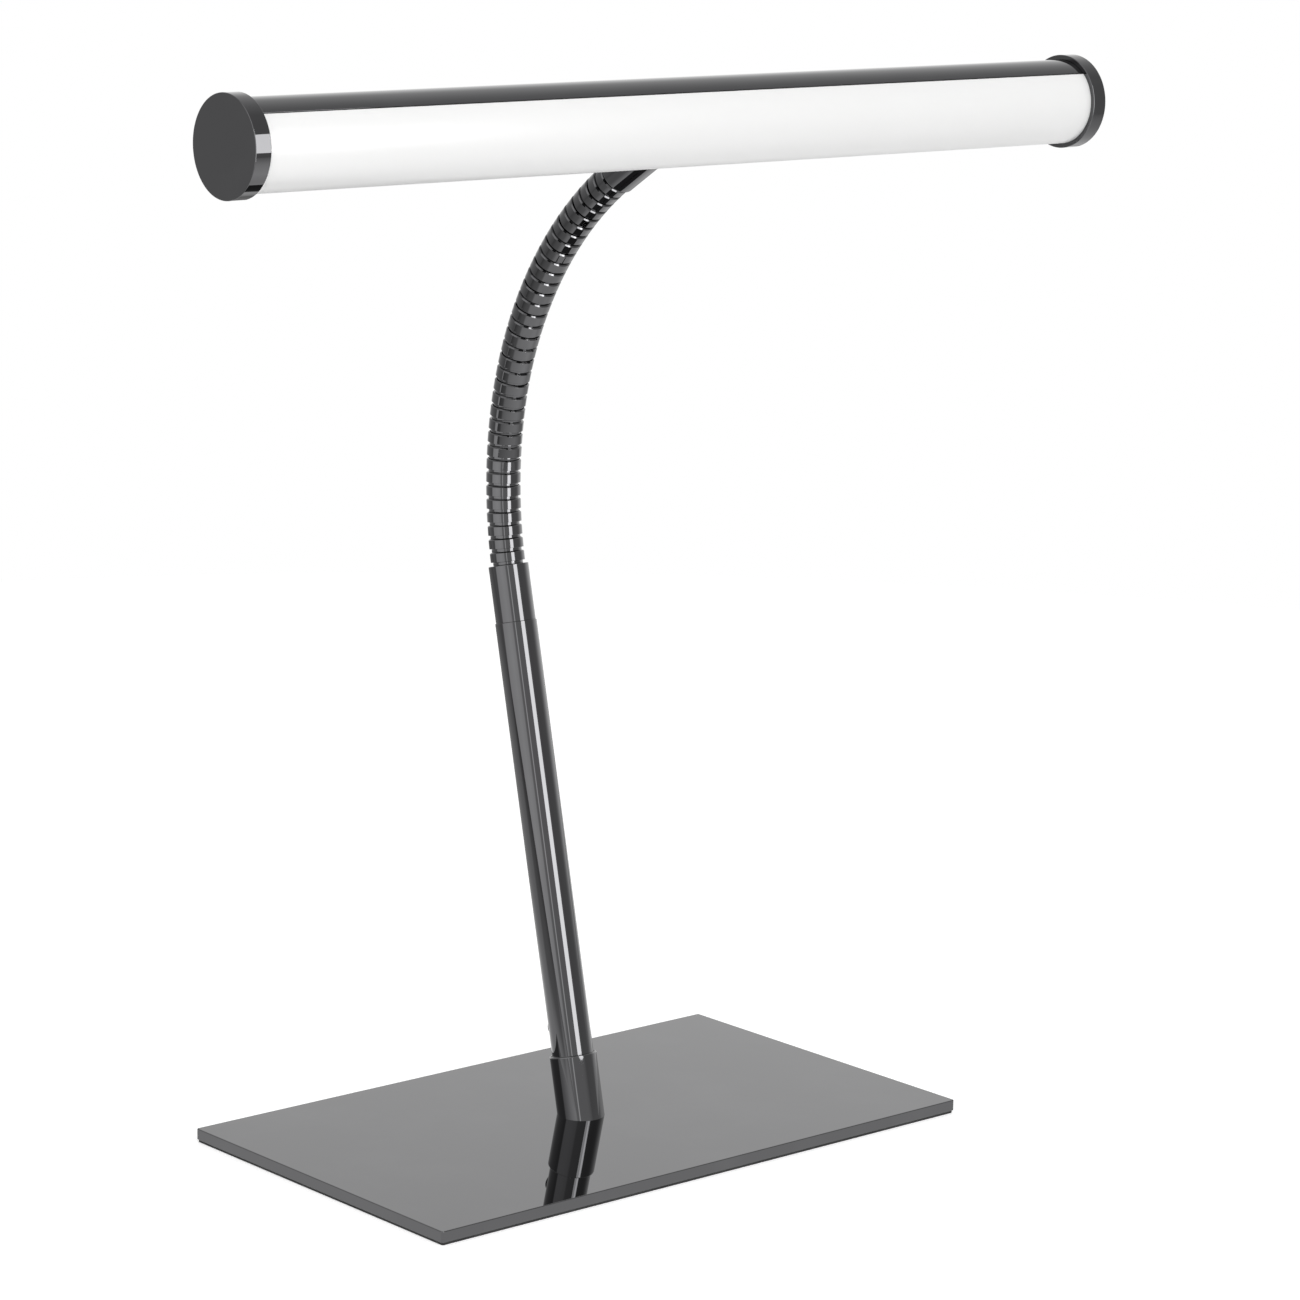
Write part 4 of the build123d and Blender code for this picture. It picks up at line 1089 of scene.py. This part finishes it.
def build_switch_button():
    """A turned plunger: stem, flange and a cap with a rounded top."""
    s = sizes()
    centre, side, up = head_frame()
    flange, flange_top, stem, foot = 0.0048, 0.0126, 0.002, 0.0099
    flange_foot = flange_top - 0.0009
    rows = run((foot, 0.0), (foot, stem, 0.0002), (flange_foot, stem), (flange_foot, flange, 0.0001),
               (flange_top, flange, 0.0001), (flange_top, s.button_radius),
               (s.button_top, s.button_radius, 0.0005), (s.button_top, 0.0))
    skin = Skin()
    turned(skin, rows, centre + s.button_place * X, up, X, -side, around(72))
    return skin.build("switch_button_finished")


# ---------------------------------------------------------------- studio
def aimed(position, target, roll_up=(0.0, 0.0, 1.0)):
    """Rotation whose -Z looks from a position to a target."""
    back = np.array(position) - np.array(target)
    back /= np.linalg.norm(back)
    right = np.cross(roll_up, back)
    right /= np.linalg.norm(right)
    return np.stack([right, np.cross(back, right), back], axis=1)


def put(thing, position, rotation):
    """Place an object by its position and the columns of its rotation."""
    thing.matrix_world = Matrix.Translation(position) @ Matrix(rotation.tolist()).to_4x4()


def soft_light(name, position, target, width, height, level, glossy, diffuse):
    """A rectangular light whose face has this brightness."""
    data = bpy.data.lights.new(name, "AREA")
    data.shape = "RECTANGLE"
    data.size, data.size_y = width, height
    data.energy = level * math.pi * width * height
    light = bpy.data.objects.new(name, data)
    bpy.context.scene.collection.objects.link(light)
    put(light, position, aimed(position, target))
    light.visible_camera = False
    light.visible_glossy = glossy
    light.visible_diffuse = diffuse
    return light


def build_floor():
    """A flat disc: rings at growing radii round a centre point. It is white to the camera, and the object's
    shadow still darkens it there. Mirrors instead see a painted glow of painted light and painted shade:
    brighter near the lamp, fainter towards the edge, and with painted shadow in some compass directions."""
    radius = studio().floor_radius
    turn = around(96)
    rings = radius * np.linspace(0.0, 1.0, 9) ** 1.5
    points = rings[:, None, None] * np.stack([np.cos(turn), np.sin(turn), np.zeros_like(turn)], axis=1)[None]
    skin = Skin()
    skin.patch(points - FLOOR_GAP * UP, UP)
    floor = skin.build("floor")
    material, tree, shader = new_material("floor")
    tone = tuple(studio().floor_tone)
    speckle = place(tree, "ShaderNodeGroup", node_tree=grain_group())
    tree.links.new(mixed(tree, speckle.outputs["Tone"], tone, toned(tone, 0.99)), shader.inputs["Base Color"])
    shader.inputs["Roughness"].default_value = 0.9
    shader.inputs["Specular IOR Level"].default_value = 0.1
    path = place(tree, "ShaderNodeLightPath")
    shader.inputs["Emission Color"].default_value = (1.0, 1.0, 1.0, 1.0)
    glow = arithmetic(tree, "MULTIPLY", path.outputs["Is Camera Ray"], FLOOR_GLOW)
    tree.links.new(glow, shader.inputs["Emission Strength"])
    spot = place(tree, "ShaderNodeSeparateXYZ", {0: place(tree, "ShaderNodeTexCoord").outputs["Object"]})
    # Painted light and painted shade by compass direction, seen only in mirrors: the low levels are a painted
    # shadow of the lamp on the floor.
    painted_light_and_shade_by_compass = compass_level(tree, spot.outputs["X"], spot.outputs["Y"], FLOOR_PAINTED_LIGHT_AND_SHADE_BY_COMPASS)
    level_spot = place(tree, "ShaderNodeCombineXYZ", {"X": spot.outputs["X"], "Y": spot.outputs["Y"]})
    span = place(tree, "ShaderNodeVectorMath", {0: level_spot.outputs[0]}, operation="LENGTH")
    distance = span.outputs["Value"]
    # Painted light by distance, seen only in mirrors: a painted pool of light that is brighter near the lamp
    # and fainter towards the floor's edge.
    painted_light_by_distance = leveled_ramp(tree, ranged(tree, distance, 0.0, radius, 0.0, 1.0), FLOOR_PAINTED_LIGHT_BY_DISTANCE)
    far = ranged(tree, distance, 0.15, 0.3, 0.0, 1.0)
    painted_compass_far_out = place(tree, "ShaderNodeMix", {0: far, 2: 1.0, 3: painted_light_and_shade_by_compass}).outputs[0]
    # The painted glow that mirrors see in place of the lit floor, with its painted light and painted shade.
    bright = place(tree, "ShaderNodeEmission", {"Strength": arithmetic(tree, "MULTIPLY", painted_light_by_distance, painted_compass_far_out)})
    by_path = place(tree, "ShaderNodeMixShader", {0: seen_in_mirror(tree, path), 1: shader.outputs[0],
                                                  2: bright.outputs[0]})
    tree.links.new(by_path.outputs[0], tree.nodes["Material Output"].inputs["Surface"])
    floor.data.materials.append(material)


FLOOR_GAP = 2e-5
FLOOR_GLOW = 0.42
# Levels that mirrors see, as stops of (place, level). On the floor they are painted light and painted shade:
# from the floor's centre to its edge, then by compass direction in degrees from +Y towards +X, where the low
# levels are painted shadow. Near the horizon and higher up they are the room's light, by the same compass
# directions.
FLOOR_PAINTED_LIGHT_BY_DISTANCE = (
    (0.0, 1.25), (0.27, 1.25), (0.41, 1.15), (0.55, 1.03), (0.73, 0.78), (0.91, 0.6), (1.0, 0.55),
)
FLOOR_PAINTED_LIGHT_AND_SHADE_BY_COMPASS = (
    (-180, 1.2), (-150, 1.1), (-104, 1.0), (-95, 0.5), (-60, 0.48), (-50, 0.78), (-28, 0.78), (-15, 0.7),
    (10, 0.5), (35, 0.22), (42, 0.3), (65, 1.1), (98, 1.0), (110, 0.95), (125, 1.15), (150, 1.3), (180, 1.2),
)
ROOM_LOW = (
    (-180, 0.8), (-138.5, 0.8), (-137, 2.4), (-134, 2.4), (-132.5, 0.85), (-124, 0.85), (-118, 1.65),
    (-98, 1.85), (-64, 1.6), (-60, 0.5), (-50, 0.5), (-42, 0.58), (-30, 0.64), (-10, 0.7), (30, 0.95),
    (36, 1.1), (45, 1.12), (52, 0.95), (64, 1.1), (82, 1.45), (95, 1.45), (106, 1.15), (112, 0.8),
    (124, 0.52), (160, 0.48), (170, 0.7), (180, 0.8),
)
ROOM_HIGH = (
    (-180, 0.8), (-125, 0.9), (-115, 1.4), (-70, 1.4), (-55, 0.7), (0, 0.8), (42, 0.9), (58, 0.88),
    (70, 0.79), (82, 0.7), (95, 0.64), (112, 0.52), (140, 0.5), (165, 0.6), (180, 0.8),
)


def leveled_ramp(tree, factor, stops):
    """A ramp of plain levels, which may be above 1, from stops of (place, level)."""
    highest = max(level for _, level in stops)
    ramp = place(tree, "ShaderNodeValToRGB", {0: factor})
    made = ramp.color_ramp.elements
    made[0].position, made[1].position = stops[0][0], stops[-1][0]
    made[0].color = (stops[0][1] / highest,) * 3 + (1.0,)
    made[-1].color = (stops[-1][1] / highest,) * 3 + (1.0,)
    for position, level in stops[1:-1]:
        made.new(position).color = (level / highest,) * 3 + (1.0,)
    return arithmetic(tree, "MULTIPLY", ramp.outputs[0], highest)


def compass_level(tree, x, y, stops):
    """A level by compass direction, in degrees from +Y towards +X."""
    where = ranged(tree, arithmetic(tree, "ARCTAN2", x, y), -math.pi, math.pi, 0.0, 1.0)
    return leveled_ramp(tree, where, tuple(((azimuth + 180) / 360, level) for azimuth, level in stops))


def seen_in_mirror(tree, path):
    """1 for rays that come from a mirror or through glass."""
    return arithmetic(tree, "MAXIMUM", path.outputs["Is Glossy Ray"], path.outputs["Is Transmission Ray"])


def build_world():
    """Even light for surfaces, plain white for the camera, and for mirrors a pale room: one ring of levels
    round the compass near the horizon, one higher up, and an even ceiling."""
    world = bpy.data.worlds.new("studio room")
    world.use_nodes = True
    bpy.context.scene.world = world
    tree = world.node_tree
    tree.nodes.clear()
    way = place(tree, "ShaderNodeTexCoord").outputs["Generated"]
    split = place(tree, "ShaderNodeSeparateXYZ", {0: way})
    low, high = (compass_level(tree, split.outputs["X"], split.outputs["Y"], stops)
                 for stops in (ROOM_LOW, ROOM_HIGH))
    start, end = math.sin(math.radians(22)), math.sin(math.radians(36))
    upward = ranged(tree, split.outputs["Z"], start, end, 0.0, 1.0)
    walls = place(tree, "ShaderNodeMix", {0: upward, 2: low, 3: high}).outputs[0]
    ceiling = ranged(tree, split.outputs["Z"], 0.85, 0.97, 0.0, 1.0)
    room = place(tree, "ShaderNodeMix", {0: ceiling, 2: walls, 3: 0.8}).outputs[0]
    path = place(tree, "ShaderNodeLightPath")
    for_light = place(tree, "ShaderNodeMix", {0: seen_in_mirror(tree, path), 2: studio().ambient, 3: room})
    level = place(tree, "ShaderNodeMix", {0: path.outputs["Is Camera Ray"], 2: for_light.outputs[0], 3: 1.0})
    lamp = place(tree, "ShaderNodeBackground", {"Color": (1.0, 1.0, 1.0, 1.0), "Strength": level.outputs[0]})
    out = place(tree, "ShaderNodeOutputWorld")
    tree.links.new(lamp.outputs[0], out.inputs[0])


# Position, target, width and height of each light.
KEY_LIGHT = ((-0.75, -1.5, 1.1), (0.0, 0.0, 0.25), 1.4, 1.4)
LINE_LIGHT = ((-0.0155, -0.6, 0.435), (-0.0155, 0.0, 0.435), 0.243, 0.69)
CAP_LIGHT = ((0.034, -0.351, 0.41), (-0.186, -0.059, 0.41), 0.09, 0.216)

CAMERA_PLACE = (-0.96598, -1.119776, 0.475474)
CAMERA_LENS = 118.657
CAMERA_YAW, CAMERA_PITCH, CAMERA_ROLL = 39.587, 12.613, 0.717
CAMERA_SHIFT = (0.11538, 0.06538)


def build_camera():
    """A camera that looks along a yaw from +Y towards +X and a pitch below the horizon, rolled a little."""
    yaw, pitch, roll = (math.radians(a) for a in (CAMERA_YAW, CAMERA_PITCH, CAMERA_ROLL))
    look = np.array([math.sin(yaw) * math.cos(pitch), math.cos(yaw) * math.cos(pitch), -math.sin(pitch)])
    right = np.array([math.cos(yaw), -math.sin(yaw), 0.0])
    up = np.cross(right, look)
    turned_right = math.cos(roll) * right + math.sin(roll) * up
    turned_up = -math.sin(roll) * right + math.cos(roll) * up
    data = bpy.data.cameras.new("camera")
    data.sensor_width = 36.0
    data.lens = CAMERA_LENS
    data.shift_x, data.shift_y = CAMERA_SHIFT
    data.clip_start, data.clip_end = 0.01, 50.0
    camera = bpy.data.objects.new("camera", data)
    bpy.context.scene.collection.objects.link(camera)
    put(camera, CAMERA_PLACE, np.stack([turned_right, turned_up, -look], axis=1))
    bpy.context.scene.camera = camera


# ---------------------------------------------------------------- operators
class PIANOLAMP_OT_stage(Operator):
    """Make the floor, the lights, the room and the camera"""

    bl_idname = "piano_lamp.stage"
    bl_label = "Studio"

    def execute(self, context):
        context.scene.view_settings.view_transform = "Standard"
        build_camera()
        build_world()
        build_floor()
        look = studio()
        soft_light("key light", *KEY_LIGHT, look.key, False, True)
        soft_light("line light", *LINE_LIGHT, look.line, True, False)
        soft_light("cap light", *CAP_LIGHT, look.cap, True, False)
        return {"FINISHED"}


class PIANOLAMP_OT_base_plate(Operator):
    """Make the polished base plate"""

    bl_idname = "piano_lamp.base_plate"
    bl_label = "Base plate"

    def execute(self, context):
        fit_out(build_base_plate(), "base_steel", "stand", "base_plate")
        return {"FINISHED"}


class PIANOLAMP_OT_base_pad(Operator):
    """Make the foam pad under the base plate"""

    bl_idname = "piano_lamp.base_pad"
    bl_label = "Base pad"

    def execute(self, context):
        fit_out(build_base_pad(), "foot_pad", "stand", "base_pad")
        return {"FINISHED"}


class PIANOLAMP_OT_foot_socket(Operator):
    """Make the socket that holds the post's foot"""

    bl_idname = "piano_lamp.foot_socket"
    bl_label = "Foot socket"

    def execute(self, context):
        fit_out(build_foot_socket(), "post_steel", "stand", "foot_socket")
        return {"FINISHED"}


class PIANOLAMP_OT_post_tube(Operator):
    """Make the leaning post tube"""

    bl_idname = "piano_lamp.post_tube"
    bl_label = "Post tube"

    def execute(self, context):
        fit_out(build_post_tube(), "post_steel", "stand", "post_tube")
        return {"FINISHED"}


class PIANOLAMP_OT_cord_grommet(Operator):
    """Make the rubber grommet at the back of the post"""

    bl_idname = "piano_lamp.cord_grommet"
    bl_label = "Cord grommet"

    def execute(self, context):
        fit_out(build_cord_grommet(), "grommet_rubber", "stand", "cord_grommet")
        return {"FINISHED"}


class PIANOLAMP_OT_post_collar(Operator):
    """Make the collar between the post and the neck"""

    bl_idname = "piano_lamp.post_collar"
    bl_label = "Post collar"

    def execute(self, context):
        fit_out(build_post_collar(), "post_steel", "stand", "post_collar")
        return {"FINISHED"}


class PIANOLAMP_OT_neck(Operator):
    """Make the links of the flexible neck"""

    bl_idname = "piano_lamp.neck"
    bl_label = "Neck links"

    def execute(self, context):
        for number in range(sizes().bands // 2):
            node = f"neck_link_{number + 1:02d}"
            fit_out(build_neck_link(number), "neck_steel", f"neck_{number + 1:02d}", node)
        return {"FINISHED"}


class PIANOLAMP_OT_neck_lead(Operator):
    """Make the lead in the neck, one length for each link"""

    bl_idname = "piano_lamp.neck_lead"
    bl_label = "Neck lead"

    def execute(self, context):
        fit_out(build_neck_lead(-1), "lead_sheath", "stand", "neck_lead")
        for number in range(sizes().bands // 2):
            fit_out(build_neck_lead(number), "lead_sheath", f"neck_{number + 1:02d}")
        return {"FINISHED"}


class PIANOLAMP_OT_head_ferrule(Operator):
    """Make the ferrule between the neck and the head"""

    bl_idname = "piano_lamp.head_ferrule"
    bl_label = "Head ferrule"

    def execute(self, context):
        fit_out(build_head_ferrule(), "post_steel", "head", "head_ferrule")
        return {"FINISHED"}


class PIANOLAMP_OT_head_shell(Operator):
    """Make the metal shell of the head"""

    bl_idname = "piano_lamp.head_shell"
    bl_label = "Head shell"

    def execute(self, context):
        fit_out(build_head_shell(), "head_metal", "head", "head_shell")
        return {"FINISHED"}


class PIANOLAMP_OT_diffuser(Operator):
    """Make the opal diffuser"""

    bl_idname = "piano_lamp.diffuser"
    bl_label = "Diffuser"

    def execute(self, context):
        fit_out(build_diffuser(), "opal_plastic", "head", "diffuser")
        return {"FINISHED"}


class PIANOLAMP_OT_end_caps(Operator):
    """Make the two end caps of the head"""

    bl_idname = "piano_lamp.end_caps"
    bl_label = "End caps"

    def execute(self, context):
        for sign, node in ((-1.0, "end_cap_left"), (1.0, "end_cap_right")):
            fit_out(build_end_cap(sign, node + "_finished"), "cap_metal", "head", node)
        return {"FINISHED"}


class PIANOLAMP_OT_switch_button(Operator):
    """Make the push-button"""

    bl_idname = "piano_lamp.switch_button"
    bl_label = "Push-button"

    def execute(self, context):
        fit_out(build_switch_button(), "cap_metal", "button", "switch_button")
        return {"FINISHED"}


class PIANOLAMP_OT_inner_parts(Operator):
    """Give the parts inside the lamp their finishes"""

    bl_idname = "piano_lamp.inner_parts"
    bl_label = "Inner parts"

    def execute(self, context):
        slots = {row["node"]: row["material_slot"] for row in frame["record"]["subparts"]}
        for name, node in frame["nodes"].items():
            if node.hide_render:
                continue
            material = material_of(slots[name])
            if not node.material_slots:
                node.data.materials.append(material)
            for slot in node.material_slots:
                slot.material = material
        return {"FINISHED"}


STEPS = (
    PIANOLAMP_OT_stage, PIANOLAMP_OT_base_plate, PIANOLAMP_OT_base_pad, PIANOLAMP_OT_foot_socket,
    PIANOLAMP_OT_post_tube, PIANOLAMP_OT_cord_grommet, PIANOLAMP_OT_post_collar, PIANOLAMP_OT_neck,
    PIANOLAMP_OT_neck_lead, PIANOLAMP_OT_head_ferrule, PIANOLAMP_OT_head_shell, PIANOLAMP_OT_diffuser,
    PIANOLAMP_OT_end_caps, PIANOLAMP_OT_switch_button, PIANOLAMP_OT_inner_parts,
)


class PIANOLAMP_PT_panel(Panel):
    """The lamp's pieces, sizes and finishes"""

    bl_idname = "PIANOLAMP_PT_panel"
    bl_label = "Piano Lamp"
    bl_space_type = "VIEW_3D"
    bl_region_type = "UI"
    bl_category = "Piano Lamp"

    def draw(self, context):
        for step in STEPS:
            self.layout.operator(step.bl_idname)
        for group in (sizes(), finish(), studio()):
            box = self.layout.box()
            for key in group.__annotations__:
                box.prop(group, key)


CLASSES = (LampSizes, LampFinish, StudioLook, *STEPS, PIANOLAMP_PT_panel)


def register():
    for cls in CLASSES:
        bpy.utils.register_class(cls)
    bpy.types.Scene.piano_lamp_sizes = PointerProperty(type=LampSizes)
    bpy.types.Scene.piano_lamp_finish = PointerProperty(type=LampFinish)
    bpy.types.Scene.piano_lamp_studio = PointerProperty(type=StudioLook)


def unregister():
    del bpy.types.Scene.piano_lamp_studio
    del bpy.types.Scene.piano_lamp_finish
    del bpy.types.Scene.piano_lamp_sizes
    for cls in reversed(CLASSES):
        bpy.utils.unregister_class(cls)


def main():
    register()
    for step in STEPS:
        group, name = step.bl_idname.split(".")
        getattr(getattr(bpy.ops, group), name)()


if __name__ == "__main__":
    main()
